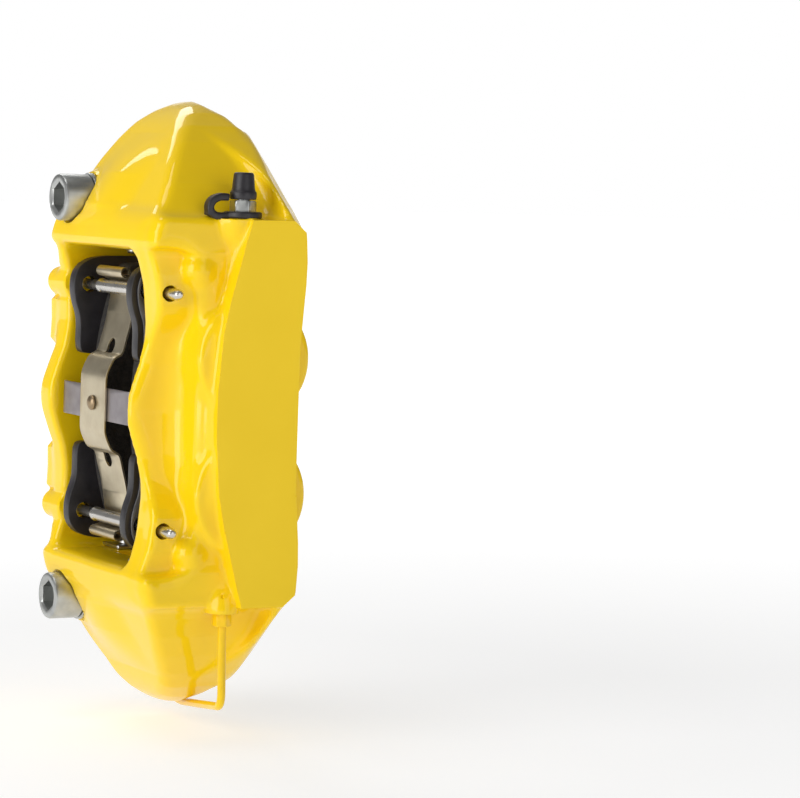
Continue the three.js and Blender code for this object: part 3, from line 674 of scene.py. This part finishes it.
def casting_end(x, y, z, az, outboard):
    """The two ends over the disc's rim, with a boss round each bolt, and their buttresses."""
    lower = z < 0  # the lower end is a little longer
    ez = az - np.where(lower, 3.0 * np.clip((az - 90) / 46, 0, 1), 0)
    ex = x + np.where(lower, 2.5 * np.clip((az - 120) / 12, 0, 1), 0)
    near, far = np.clip((y + 20.5) / 4, 0, 1), np.clip((y - 16.5) / 4, 0, 1)
    end = OUTBOARD(ex, ez) * (1 - near) + BRIDGE(ex, ez) * (near - far) + INBOARD(ex, ez) * far
    crown = np.interp(az, [78, 88, 102, 120], [0, 1, 1, 0])
    end = end - 3.4 * np.clip(1 - ((y - 5) / 30) ** 2, 0, 1) ** 2 * crown
    end = smax(smax(end, ENDS_ACROSS(y, ez), 4.5), 72 - az, 2)
    lean = (0.898 * x - 0.44 * y + np.interp(ez, *LEAN_AT)) * 0.85
    end = smax(end, np.where(outboard, lean, -20), 3.5)
    boss = smax(rod(y, az, BOLT_Y, BOLT_Z, 12.0), BOLT_BOSS_X - x, 1)
    end = smin(end, np.maximum(boss, x + 130), 3)

    face = smax(ENDS_ACROSS(y, ez) - np.interp(ez, *BUTTRESS_AT), -y - 69.5, 2)
    inner = -(x + 125.2 + 0.0125 * (az - 89) * np.abs(az - 89)) * 0.9
    buttress = smax(smax(face, inner, 4), lean, FILLET)
    return end, np.maximum(np.maximum(buttress, 80 - az), np.maximum(y + 12, x + 112))


def outboard_half(x, y, az):
    """Rim, wall, saddle, flank and pin lobes on the outboard side."""
    wall_y = np.interp(az, [0, 20, 38, 46, 90], [44, 45, 47.3, 48.3, 49])
    body = smax(OUTBOARD(x, az), -y - wall_y, 7)
    body = smax(body, az - 80, 2)
    saddle = -0.93 * (x + 162) - 0.36 * (y + 50)
    saddle = smax(smax(saddle, -y - 67, FILLET), az - 46, 12)
    body = smin(body, np.maximum(saddle, x + 116.5), 9)
    pin_face = np.interp(az, [20, 28, 36, 42, 46, 60, 70], [42.5, 45, 49.5, 54.2, 56, 56, 54])
    body = smin(body, smax(PIN_WALL(x, az), -y - pin_face, 3.2), FILLET)
    body = smin(body, smax(PILLOW(x, az), -y - 62, 10), FILLET)
    shoulder = smax(smax(SHOULDER(x, az), -y - 61.5, 4), az - SHELF_Z, 3.5)
    body = smin(body, shoulder, 4)
    return smin(body, ball(x, y, az, (-160.4, -57.2, 61.4), 6.9), FILLET)


def inboard_half(x, y, az):
    """Wall, thick shoulders and pin bosses on the inboard side."""
    wall_y = np.interp(az, [0, 20, 60, 72, 84], [55, 54, 52, 47, 45])
    body = smax(smax(INBOARD(x, az), y - wall_y, 7), az - 80, 2)
    flank = smax(smax(FLANK_INBOARD(x, az), y - 62, 6), az - SHELF_Z, 1.4)
    body = smin(body, flank, 6)
    body = smin(body, smax(INBOARD_SHOULDER(x, az), y - 64, 5), 4)
    pin_boss = smax(rod(x, az, PIN_X, PIN_Z, 6.6), y - 61, FILLET)
    return smin(body, np.maximum(pin_boss, 40 - y), 3)


def bell(x, y, z, cx, cy, end_z, radius=8.6):
    """Half ellipsoid that swells out of the flank towards a port."""
    depth = np.maximum(end_z - z, 0) / 12.5
    swell = np.sqrt(((x - cx) ** 2 + (y - cy) ** 2) / radius**2 + depth**2) - 1
    return np.maximum(swell * 8.0, z - end_z)


def machined(body, x, y, z):
    """The casting less its pad window, disc slot, bores, bolt holes, ports and flats."""
    az, ay = np.abs(z), np.abs(y)
    qy, qz = ay - (WINDOW_HALF_Y - WINDOW_CORNER), az - (WINDOW_HALF_Z - WINDOW_CORNER)
    window = np.sqrt(np.maximum(qy, 0) ** 2 + np.maximum(qz, 0) ** 2)
    window = window + np.minimum(np.maximum(qy, qz), 0) - WINDOW_CORNER
    body = smax(body, -window, 3)
    slot = np.maximum(rod(x, z, 0, 0, RIM_CLEAR), ay - SLOT_HALF)
    body = np.maximum(body, -slot)
    for cz in BORE_Z:
        bore = rod(x, z, BORE_X, cz, BORE_R)
        seal_groove = np.maximum(bore - 2.95, slab(ay, 43.4, 47.2))
        dust_groove = np.maximum(bore - 1.95, slab(ay, 34, 42.3))
        cut = np.minimum(np.minimum(np.maximum(bore, ay - 62.5), seal_groove), dust_groove)
        body = np.maximum(body, -np.maximum(cut, 34 - ay))
    bolt = rod(y, az, BOLT_Y, BOLT_Z, 7.6)
    seat = np.maximum(rod(y, az, BOLT_Y, BOLT_Z, 11.6), x - BOLT_SEAT_X)
    land = np.maximum(np.maximum(MOUNT_X - x, slab(az, 74, 107)), 17.5 - y)
    body = np.maximum(body, -np.minimum(np.minimum(bolt, seat), land))
    pin_bore = np.maximum(rod(x, az, PIN_X, PIN_Z, 4.8), 44 - y)
    body = np.maximum(body, -np.minimum(rod(x, az, PIN_X, PIN_Z, 3.5), pin_bore))
    for cx, cy in SCREW_PLACES.values():
        body = np.maximum(body, -np.maximum(rod(x, y, cx, cy, 2.2), slab(az, 68, 77)))
    body = np.maximum(body, -np.maximum(rod(x, z, INLET_X, INLET_Z, 5.1), 59 - y))
    for side in SIDES.values():
        upper = np.maximum(rod(x, y, BLEED_X, side * BLEED_Y, 5.1), 64 - z)
        lower = np.maximum(rod(x, y, PORT_X[side], side * BLEED_Y, 4.4), z + 79)
        body = np.maximum(body, -np.minimum(upper, lower))
    return body


def build_casting():
    low, high, pitch = (-192, -76, -142), (-104, 80, 142), 1.2
    shape = contour(casting, low, high, pitch)
    obj = piece("caliper_casting", shape, "gloss", "caliper", "caliper_body", sharp=38)
    apply_modifier(obj, "DECIMATE", ratio=0.8)
    smooth(obj.data, 38)
    # The machined face plate's flat faces take the satin paint, whose lighter, paler colour is
    # painted sheen.
    obj.data.materials.append(MATERIALS["satin"])
    flat = row([0, -FACE_Y + 0.35, 0])[1]
    for face in obj.data.polygons:
        if face.center.y < flat and face.normal.y < -0.97:
            face.material_index = 1


build_casting()


# ---- pads
PLATE_HALF = [
    (-166, 0), (-166, 15.5), (-167.2, 18.6), (-169.6, 19.9), (-174.2, 20.1), (-176.0, 21.6),
    (-176.6, 25), (-176.6, 33), (-177.3, 38), (-179.0, 43), (-180, 48), (-180, 53), (-178.9, 57),
    (-176.2, 60.4), (-171.5, 62.8), (-165, 63.9), (-158, 64),
]
PAD_HALF_Z = 64
PAD_END = [
    (-158, PAD_HALF_Z), (-119.5, PAD_HALF_Z), (-117.2, 63.2), (-112.4, 58.6), (-111.3, 56.2),
    (-111.6, 53.6)]
FRICTION_END = [
    (-158.9, 59.8), (-157, 61), (-150, 61.5), (-120, 61.5), (-118, 60.8), (-111.2, 56)]
PAD_INNER_R, FRICTION_INNER_R, FRICTION_OUTER_R = 121.0, 123.0, 170.5
PIN_HOLE_R = 3.6


def disc_arc(radius, start, end):
    angles = np.linspace(start, end, 16)
    return [(-radius * math.cos(a), radius * math.sin(a)) for a in angles]


def pad_plate_half(inset=0.0):
    half = [*smooth_line(PLATE_HALF, 1.6), *PAD_END, *disc_arc(PAD_INNER_R, 0.42, 0)]
    if not inset:
        return half
    return [(x + inset * 1.2, min(z, PAD_HALF_Z - inset) if z > 40 else z) for x, z in half]


def pad_layer(side, name, half, hole_r, near, far, material, node):
    """Plate of half an outline mirrored, between two distances from the disc's middle plane."""
    sign = SIDES[side]
    holes = [circle(PIN_X, end * PIN_Z, hole_r, 32) for end in ENDS.values() if hole_r]
    shape = plate(mirrored(half), holes, "y", sign * near, sign * far)
    return piece(f"{name}_{side}", shape, material, f"pad_{side}", f"{node}_{side}")


def make_pads():
    backing_half, shim_half = pad_plate_half(), pad_plate_half(2.2)
    friction_half = [
        *disc_arc(FRICTION_OUTER_R, 0, 0.345), *FRICTION_END, *disc_arc(FRICTION_INNER_R, 0.44, 0)]
    for side, sign in SIDES.items():
        backing = pad_layer(
            side, "backing_plate", backing_half, PIN_HOLE_R, 27.3, 33.0, "backing", "pad_plate")
        bevelled(backing, 0.7, 3)
        block = pad_layer(
            side, "friction_block", friction_half, 0, 14.3, 27.0, "friction", "pad_friction")
        cut_wear_slot(block, sign)
        bevelled(block, 0.6, 2)
        shim = pad_layer(
            side, "noise_shim", shim_half, PIN_HOLE_R + 0.3, 33.3, 34.1, "shim", "pad_shim")
        bevelled(shim, 0.2, 1)


def cut_wear_slot(obj, sign):
    """Saws the wear slot across the friction block's face."""
    bm = bmesh.new()
    bmesh.ops.create_cube(bm, size=1)
    near, far = sorted((sign * 12, sign * 24))
    low, high = row([-200, near, -1.2]), row([-90, far, 1.2])
    for vert in bm.verts:
        vert.co = Vector([low[i] if vert.co[i] < 0 else high[i] for i in range(3)])
    mesh = bpy.data.meshes.new("saw")
    bm.to_mesh(mesh)
    bm.free()
    saw = bpy.data.objects.new("saw", mesh)
    bpy.context.scene.collection.objects.link(saw)
    apply_modifier(obj, "BOOLEAN", operation="DIFFERENCE", solver="EXACT", object=saw)
    bpy.data.objects.remove(saw)
    bpy.data.meshes.remove(mesh)


# ---- pistons and seals
PISTON_R, PISTON_WALL, PISTON_LENGTH, CUP_DEPTH, PISTON_FRONT = 21.9, 5.5, 25.5, 18.0, 34.4
# Each seal's start and stop from the middle plane, and its outer radius.
SEALS = {"piston_seal": (43.7, 46.9, 24.7), "dust_seal": (40.6, 42.0, 23.7)}
SEAL_INNER_R = 22.0


def flipped(profile, sign):
    return [(r, sign * along) for r, along in profile]


def make_pistons():
    r, front, bore = PISTON_R, PISTON_FRONT, PISTON_R - PISTON_WALL
    floor, back = front + CUP_DEPTH, front + PISTON_LENGTH
    cup = soft_corners([
        (0, floor), (bore - 3, floor), (bore, floor - 3), (bore, front + 0.6),
        (bore + 0.6, front), (r - 0.8, front), (r, front + 0.8), (r, front + 3.2),
        (r - 1.1, front + 3.6), (r - 1.1, front + 5.0), (r, front + 5.4),
        (r, back - 1), (r - 1, back), (0, back),
    ], 0.4)
    for side, sign in SIDES.items():
        for end, cz in zip(ENDS, BORE_Z):
            label, place = f"{side}_{end}", (BORE_X, 0, cz)
            shape = lathe(flipped(cup, sign), "y", place, 72)
            body = node = f"piston_{label}"
            piece(f"piston_cup_{label}", shape, "anodised", body, node)
            for name, (start, stop, outer) in SEALS.items():
                inner = SEAL_INNER_R
                ring = [
                    (inner, start + 0.4), (inner + 0.4, start), (outer - 0.4, start),
                    (outer, start + 0.4), (outer, stop - 0.4), (outer - 0.4, stop),
                    (inner + 0.4, stop), (inner, stop - 0.4)]
                shape = lathe(flipped(ring, sign), "y", place, 72)
                piece(f"{name}_ring_{label}", shape, "seal", "caliper", f"{name}_{label}")


# ---- pins and sleeves
PIN_TIP_Y, PIN_HEAD_Y = -66.0, 63.0
SLEEVE_GAP, SLEEVE_STEPS = 0.35, 44


def make_pins():
    tip, head = PIN_TIP_Y, PIN_HEAD_Y
    profile = soft_corners([
        (0, tip), (1.1, tip + 0.1), (1.8, tip + 0.7), (2.4, tip + 2.2), (2.4, -42.4), (3, -40),
        (3, 12), (3.3, 12.7), (3.3, 14.3), (2.95, 15), (2.3, 16.2), (2.3, 33.8), (3, 36),
        (3, head - 4), (4.6, head - 4), (4.6, head - 1), (3.8, head), (0, head),
    ], 0.35)
    for end, sign in ENDS.items():
        place, body = (PIN_X, 0, sign * PIN_Z), f"pin_{end}"
        shape = lathe(profile, "y", place, 40)
        piece(f"pad_pin_{end}", shape, "pin", body, f"retaining_pin_{end}", sharp=40)
        piece(f"split_sleeve_{end}", sleeve(place), "spring", body, f"pin_sleeve_{end}")


def sleeve(place):
    """Split spring ring round the pin: open along its length, with rolled lips."""
    section = [
        (3.3, 45.3), (3.5, 45), (4.3, 45), (4.5, 45.3), (4.5, 57.7), (4.3, 58), (3.5, 58),
        (3.3, 57.7)]
    points, faces = [], []
    for i in range(SLEEVE_STEPS + 1):
        angle = SLEEVE_GAP + (2 * math.pi - 2 * SLEEVE_GAP) * i / SLEEVE_STEPS
        for r, y in section:
            points.append((place[0] + r * math.sin(angle), y, place[2] + r * math.cos(angle)))
    add_walls(faces, 0, SLEEVE_STEPS, len(section))
    return points, outward(points, faces)


def add_walls(faces, first, steps, count):
    """Adds the sides and both end faces of a bar whose sections have `count` points each."""
    for i in range(steps):
        for k in range(count):
            a, b = first + i * count + k, first + i * count + (k + 1) % count
            faces.append((a, b, b + count, a + count))
    faces.append(tuple(first + k for k in range(count))[::-1])
    faces.append(tuple(first + steps * count + k for k in range(count)))


# ---- springs
LEAF_T, LEAF_HALF_Y, LEAF_X = 0.9, 13.0, -181.7
LEAF_BEND = [
    (-170.6, 55.2), (-168.4, 52), (-168.4, 48), (-170.3, 37), (-172.6, 28), (-173.9, 23.4),
    (-175.0, 21.9), (-177.4, 20.6), (-178.7, 19.2), (-180.6, 15.4), (-181.5, 12.6),
    (LEAF_X, 9.5), (LEAF_X, 0)]
ROLL_X, ROLL_Z, ROLL_R = -173.8, 58.2, 1.9
RIVET_HOLE_R = 2.3
ARCH_FOOT_Z, ARCH_TOP_Z, ARCH_R, ARCH_FOOT_HALF = 21.9, 28.6, 3.6, 3.0
WING_HALF_Y, WING_HALF_Z, WING_T, WING_LIFT = 36.5, 7.3, 1.2, 1.2


def leaf_line():
    """Middle line of the leaf spring as (x, z), from the upper roll to the lower one."""
    angles = np.linspace(-2.15 * math.pi, -0.5 * math.pi, 28)
    roll = [(ROLL_X + ROLL_R * math.cos(a), ROLL_Z + ROLL_R * math.sin(a)) for a in angles]
    half = [*roll[:-1], *smooth_line([roll[-1], *LEAF_BEND], 1.2)]
    return np.array([*half, *[(x, -z) for x, z in half[-2::-1]]])


def make_leaf_spring():
    line = leaf_line()
    along = np.concatenate([[0], np.cumsum(np.hypot(*np.diff(line, axis=0).T))])
    middle = along[-1] / 2
    tangent = np.gradient(line, along, axis=0)
    tangent /= np.linalg.norm(tangent, axis=1)[:, None]

    def place(offset):
        def at(s, y):
            x, z = np.interp(s, along, line[:, 0]), np.interp(s, along, line[:, 1])
            tx, tz = np.interp(s, along, tangent[:, 0]), np.interp(s, along, tangent[:, 1])
            return (x + tz * offset, y, z - tx * offset)
        return at

    def reach(z):
        """Length along the line at a height, away from the rolls."""
        keep = (np.abs(line[:, 1] - z) < 8) & (np.abs(line[:, 1]) < 50)
        return np.interp(-z, -line[keep, 1], along[keep])

    holes = [circle(middle, 0, RIVET_HOLE_R, 24)]
    for sign in ENDS.values():
        ends = reach(sign * ARCH_FOOT_Z), reach(sign * ARCH_TOP_Z)
        foot, top = sorted(ends, key=lambda s: abs(s - middle))
        bulge = math.copysign(1, top - foot) * ARCH_R
        arch = [(top - bulge + bulge * math.sin(a), ARCH_R * math.cos(a))
                for a in np.linspace(0, math.pi, 13)]
        holes.append(np.array([(foot, ARCH_FOOT_HALF), *arch, (foot, -ARCH_FOOT_HALF)]))
    outline = [(s, LEAF_HALF_Y) for s in along] + [(s, -LEAF_HALF_Y) for s in along[::-1]]
    flat = split_across(*flat_mesh(outline, holes), along)
    shape = thick(*flat, place(-LEAF_T / 2), place(LEAF_T / 2))
    obj = piece("pad_spring", shape, "spring", "caliper", "leaf_spring", sharp=40)
    bevelled(obj, 0.18, 2, 50)


def split_across(verts, faces, lines):
    """Cuts flat triangles along the given first coordinates, so the sheet can be bent there."""
    bm = bmesh.new()
    made = [bm.verts.new((u, v, 0)) for u, v in verts]
    for f in faces:
        bm.faces.new([made[i] for i in f])
    for u in lines[1:-1]:
        everything = bm.verts[:] + bm.edges[:] + bm.faces[:]
        bmesh.ops.bisect_plane(
            bm, geom=everything, dist=1e-5, plane_co=(u, 0, 0), plane_no=(1, 0, 0))
    bm.verts.index_update()
    out = np.array([v.co[:2] for v in bm.verts])
    kept = [tuple(v.index for v in f.verts) for f in bm.faces]
    bm.free()
    return out, kept


def make_wing_plate():
    y1, z1 = WING_HALF_Y, WING_HALF_Z
    top = LEAF_X + LEAF_T / 2 + 0.3
    outline = [(-y1, -z1 + 1), (-y1 + 1, -z1), (y1 - 1, -z1), (y1, -z1 + 1),
               (y1, z1 - 1), (y1 - 1, z1), (-y1 + 1, z1), (-y1, z1 - 1)]
    flat = flat_mesh(outline, [circle(0, 0, RIVET_HOLE_R, 24)])
    flat = split_across(*flat, np.linspace(-y1, y1, 75))

    def height(y):
        """The wings' tips bend down onto the pads."""
        return top + WING_LIFT * np.clip((abs(y) - y1 + 3.5) / 3.5, 0, 1) ** 1.6

    shape = thick(*flat, lambda y, z: (height(y), y, z), lambda y, z: (height(y) + WING_T, y, z))
    obj = piece("spring_wing", shape, "wing", "caliper", "wing_plate", sharp=30)
    bevelled(obj, 0.3, 2, 50)

    rivet = soft_corners([
        (0, -2.2), (0.9, -2.15), (1.9, -1.9), (2.8, -1.4), (3.3, -0.8), (3.4, -0.3), (2, -0.3),
        (2, 2.9), (3.2, 2.9), (3.1, 3.7), (2.0, 4.25), (0, 4.4),
    ], 0.2)
    shape = lathe(rivet, "x", (LEAF_X - LEAF_T / 2, 0, 0), 40)
    piece("spring_rivet_head", shape, "rivet", "caliper", "spring_rivet")


# ---- bleed screws, caps and tethers
BLEED_ACROSS = 10.0
STRAP_HALF, STRAP_T = 2.6, 3.2


def thread(start, pitch, turns, root, crest, rises):
    """Profile of a thread; `rises` are the crest's start, its end and the next root."""
    up, over, down = rises
    out = []
    for i in range(turns):
        at = start + pitch * i
        out += [(root, at), (crest, at + up), (crest, at + over), (root, at + down)]
    return out


def make_bleeders():
    across = BLEED_ACROSS
    screw = [
        (1.1, -15), (1.6, -15), (3, -12.6), *thread(-11.2, 1.25, 9, 4.35, 4.9, (0.4, 0.6, 1.0)),
        (4.5, 0.4), (4.2, 0.8), (4.2, 2.4), (5.2, 2.45, across), (5.77, 3.0, across),
        (5.77, 7.5, across), (5.2, 8.1, across), (2.9, 8.15), (2.9, 10), (3.7, 11.5), (3.6, 12.2),
        (3.2, 14.5), (2.6, 15.7), (2.2, 16), (1.1, 16),
    ]
    cap = soft_corners([
        (0, 20.2), (3.2, 20.2), (4.0, 20.0), (4.4, 19.4), (4.95, 13.4), (5.2, 12.3), (5.75, 11.7),
        (5.85, 10.6), (5.75, 9.0), (5.5, 8.5), (4.6, 8.5), (4.25, 8.9), (4.25, 16.0), (3.9, 16.6),
        (0, 16.6),
    ], 0.3)
    for side, sign in SIDES.items():
        place = (BLEED_X, sign * BLEED_Y, SHELF_Z)
        name = f"bleed_screw_{side}"
        piece(f"bleed_nipple_{side}", lathe(screw, "z", place, 72), "zinc", name, name, sharp=38)
        name = f"bleed_cap_{side}"
        piece(f"dust_cap_{side}", lathe(cap, "z", place, 56), "rubber", name, name, sharp=50)
        make_tether(side, place)


def make_tether(side, place):
    """Rubber ring round the screw's foot, its strap bent into a closed loop, and a pull tab."""
    ring = [
        (5.95, 0.6), (6.2, 0.3), (8.0, 0.3), (8.4, 0.8), (8.4, 2.8), (8.0, 3.3), (6.2, 3.3),
        (5.95, 3.0)]
    points, faces = lathe(ring, "z", place, 56)
    points = [tuple(p) for p in points]
    route = smooth_line([
        (-7.3, 1.3), (-10.5, 1.2), (-13.8, 1.5), (-15.9, 3.4), (-16.2, 5.6), (-14.9, 7.9),
        (-12.2, 9.2), (-9.6, 9.5), (-7.6, 9.3)], 0.6)
    add_strap(points, faces, route, STRAP_HALF, STRAP_T, place)
    tab = smooth_line([(-15.4, 4.0), (-16.4, 4.2), (-17.5, 4.3)], 0.5)
    add_strap(points, faces, tab, STRAP_HALF * 0.9, STRAP_T * 1.8, place)
    node = f"cap_tether_{side}"
    obj = piece(f"tether_{side}", (points, faces), "rubber", "caliper", node, sharp=50)
    apply_modifier(obj, "REMESH", mode="VOXEL", voxel_size=0.00042)
    apply_modifier(obj, "SMOOTH", factor=0.5, iterations=3)
    apply_modifier(obj, "DECIMATE", ratio=0.4)
    obj.data.shade_smooth()


def add_strap(points, faces, route, half, thickness, place):
    """Adds a closed flat strap along a route of (x, z) offsets from the screw's foot."""
    x, y, z = place
    tangent = np.gradient(route, axis=0)
    tangent /= np.linalg.norm(tangent, axis=1)[:, None]
    first, inner = len(points), half * 0.82
    section = [(-inner, -0.5), (inner, -0.5), (half, -0.2), (half, 0.2),
               (inner, 0.5), (-inner, 0.5), (-half, 0.2), (-half, -0.2)]
    for (u, w), (tu, tw) in zip(route, tangent):
        for side, up in section:
            points.append((x + u - tw * up * thickness, y + side, z + w + tu * up * thickness))
    strap = []
    add_walls(strap, first, len(route) - 1, len(section))
    faces.extend(outward(points, strap))


# ---- crossover pipe
PIPE_R = 1.8
NUT_ACROSS = 7.2


def make_pipe():
    start = -SHELF_Z - 1.5
    corners = [
        (PORT_X[-1], -BLEED_Y, start), (-144, -BLEED_Y, -128.5), (-133.5, -14, -135),
        (-127, 16, -139), (-128.5, 38, -133.5), (PORT_X[1], BLEED_Y, -116),
        (PORT_X[1], BLEED_Y, start)]
    shape = tube(rounded_route(corners, 7.0, 3.6), PIPE_R, 28)
    piece("brake_pipe", shape, "pipe", "caliper", "crossover_pipe", sharp=60)
    across = NUT_ACROSS
    nut = [
        (2.2, 6.4), (3.7, 6.4), (4.0, 6.0), (4.0, 0.2), (3.5, -0.35), (3.8, -0.4, across),
        (4.16, -0.8, across), (4.16, -5.4, across), (3.8, -5.8, across), (2.8, -5.9), (2.2, -5.7),
    ]
    for side, sign in SIDES.items():
        shape = lathe(nut, "z", (PORT_X[sign], sign * BLEED_Y, -PORT_END_Z), 60)
        piece(f"pipe_nut_{side}", shape, "pipe", "caliper", f"flare_nut_{side}", sharp=35)


def rounded_route(corners, radius, step):
    """Straight runs joined by curves that start `radius` from each corner."""
    p = [np.array(c, float) for c in corners]
    out = [p[0]]
    for before, corner, after in zip(p, p[1:], p[2:]):
        into, away = corner - before, after - corner
        lengths = np.linalg.norm(into), np.linalg.norm(away)
        enter = corner - into / lengths[0] * min(radius, lengths[0] * 0.45)
        leave = corner + away / lengths[1] * min(radius, lengths[1] * 0.45)
        add_straight(out, enter, step)
        for t in np.linspace(0, 1, 10)[1:]:
            out.append(enter * (1 - t) ** 2 + 2 * corner * t * (1 - t) + leave * t**2)
    add_straight(out, p[-1], step)
    return out


def add_straight(out, end, step):
    start = out[-1]
    count = max(1, int(np.linalg.norm(end - start) / step))
    out += [start + (end - start) * t for t in np.arange(1, count + 1) / count]


# ---- mounting bolts
WASHER_TOP_X, BOLT_END_X = -172.0, -98
HEAD_HEIGHT, SOCKET_ACROSS = 14, 12


def make_bolts():
    seat, hexagon = WASHER_TOP_X, SOCKET_ACROSS
    under = seat - 2.3
    top = under - HEAD_HEIGHT
    bolt = [
        (0, top + 7.4), (3.4, top + 7.1), (6.93, top + 6.9, hexagon), (6.93, top + 0.7, hexagon),
        (7.4, top + 0.1), (9.3, top), (10.1, top + 0.35), (10.5, top + 1.2), (10.5, under - 0.4),
        (10.1, under), (7.4, under), (7.0, under + 0.6), (7.0, -131),
        *thread(-130, 2.0, 15, 6.2, 7.0, (0.75, 1.0, 1.75)), (6.2, -99.6), (5.4, BOLT_END_X),
        (0, BOLT_END_X),
    ]
    ring = [
        (7.4, seat - 0.3), (7.6, seat), (10.9, seat), (11.2, seat - 0.3), (11.2, seat - 1.7),
        (10.9, seat - 2), (7.6, seat - 2), (7.4, seat - 1.7)]
    for end, sign in ENDS.items():
        place = (0, BOLT_Y, sign * BOLT_Z)
        shape = lathe(bolt, "x", place, 96)
        piece(f"socket_bolt_{end}", shape, "zinc", "caliper", f"mounting_bolt_{end}", sharp=36)
        shape = lathe(ring, "x", place, 72)
        piece(f"flat_washer_{end}", shape, "zinc", "caliper", f"bolt_washer_{end}")


# ---- abutments
ABUTMENT_TOPS = {"outboard": -173, "inboard": -158}
ABUTMENT_NEAR_Y = {"outboard": -39, "inboard": 21}
ABUTMENT_WIDTH, ABUTMENT_Z = 18, (67.3, 68.7)


def make_abutments():
    screw = [
        (0, 65.9), (1.0, 65.9), (1.2, 65.35), (2.4, 65.35), (2.9, 65.6), (3.2, 66.2), (3.2, 66.9),
        (1.9, 67.0), (1.9, 75.7), (1.6, 76), (0, 76)]
    for side, near in ABUTMENT_NEAR_Y.items():
        outline = round_box(ABUTMENT_TOPS[side], near, MOUNT_X, near + ABUTMENT_WIDTH, 1.6)
        cx, cy = SCREW_PLACES[side]
        for end, way in ENDS.items():
            levels = [way * level for level in ABUTMENT_Z]
            shape = plate(outline, [circle(cx, cy, 2.3, 24)], "z", *levels)
            name = f"{side}_{end}"
            obj = piece(
                f"abutment_{name}", shape, "stainless", "caliper", f"abutment_plate_{name}")
            bevelled(obj, 0.25, 2)
            shape = lathe(flipped(screw, way), "z", (cx, cy, 0), 36)
            piece(f"small_screw_{name}", shape, "stainless", "caliper", f"abutment_screw_{name}")


def round_box(u0, v0, u1, v1, radius):
    """Rectangle with rounded corners."""
    u0, u1, v0, v1 = u0 + radius, u1 - radius, v0 + radius, v1 - radius
    out = []
    for quarter, (u, v) in enumerate([(u1, v1), (u0, v1), (u0, v0), (u1, v0)]):
        for k in range(5):
            angle = math.radians(90 * quarter + 22.5 * k)
            out.append((u + radius * math.cos(angle), v + radius * math.sin(angle)))
    return out


make_pads()
make_pistons()
make_pins()
make_leaf_spring()
make_wing_plate()
make_bleeders()
make_pipe()
make_bolts()
make_abutments()


# ---- stage and light
FLOOR_GAP, FLOOR_HALF = 0.004, 12.0


def add_floor():
    """Pale floor under the part with a painted glow: its emission is weaker near the part and full
    away from it, so it grows lighter away from it.
    """
    low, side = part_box("crossover_pipe")[0].z - FLOOR_GAP, FLOOR_HALF
    mesh = bpy.data.meshes.new("floor")
    corners = [(-side, -side, low), (side, -side, low), (side, side, low), (-side, side, low)]
    mesh.from_pydata(corners, [], [(0, 1, 2, 3)])
    floor = bpy.data.objects.new("floor", mesh)
    bpy.context.scene.collection.objects.link(floor)
    n = Nodes("pale_glowing_floor")
    n.link(n.ramp(n.noise(2.0, 2), (0.3, (0.5, 0.5, 0.5)), (0.7, (0.53, 0.53, 0.53))), "Base Color")
    n.value("Roughness", 0.85)
    # Painted glow: emission rises from 0.6 near the part to 1 away from it.
    n.value("Emission Color", (1, 1, 1, 1))
    distance = add_node(n.tree, "VectorMath", {0: n.place})
    distance.operation = "LENGTH"
    glow = add_node(n.tree, "MapRange", {"Value": distance.outputs["Value"]},
                    From_Min=0.3, From_Max=1.6, To_Min=0.6)
    n.link(glow.outputs["Result"], "Emission Strength")
    mesh.materials.append(n.material)


def add_world():
    """Pale studio: a white backdrop past the object, and a dimmer room round the camera."""
    world = bpy.data.worlds.new("studio")
    bpy.context.scene.world = world
    world.use_nodes = True
    tree = world.node_tree
    towards = add_node(tree, "VectorMath", {0: add_node(tree, "TexCoord").outputs["Generated"]})
    towards.operation = "DOT_PRODUCT"
    towards.inputs[1].default_value = -CAMERA_BACK
    spread = add_node(tree, "MapRange", {"Value": towards.outputs["Value"]}, From_Min=-1)
    level = add_node(tree, "ValToRGB", {"Fac": spread.outputs["Result"]})
    level.color_ramp.interpolation = "EASE"
    for at, strength in ((0.0, 0.14), (0.55, 0.18), (0.93, 0.3), (0.975, 1.0)):
        stop = level.color_ramp.elements.new(at) if at else level.color_ramp.elements[0]
        stop.position = at
        stop.color = (strength, strength, strength, 1)
    level.color_ramp.elements.remove(level.color_ramp.elements[-1])
    tree.links.new(level.outputs["Color"], tree.nodes["Background"].inputs["Color"])


def add_light(name, place, size, power):
    """Soft rectangular light that faces the object."""
    data = bpy.data.lights.new(name, "AREA")
    data.shape = "RECTANGLE"
    data.size, data.size_y = size
    data.energy = power
    light = bpy.data.objects.new(name, data)
    bpy.context.scene.collection.objects.link(light)
    light.location = place
    light.rotation_euler = (-Vector(place)).to_track_quat("-Z", "Y").to_euler()


def add_lights():
    add_light("key_left", (-1.5, -0.35, 0.35), (1.1, 1.3), 16)
    add_light("front_fill", (0.25, -1.9, 0.5), (1.2, 1.2), 5)
    add_light("back_panel", (0.1, 1.5, 1.3), (1.15, 0.5), 6.5)
    add_light("top", (-0.5, 0.1, 1.45), (0.7, 0.6), 4)
    bpy.context.scene.view_settings.view_transform = "Standard"


add_floor()
add_world()
add_lights()
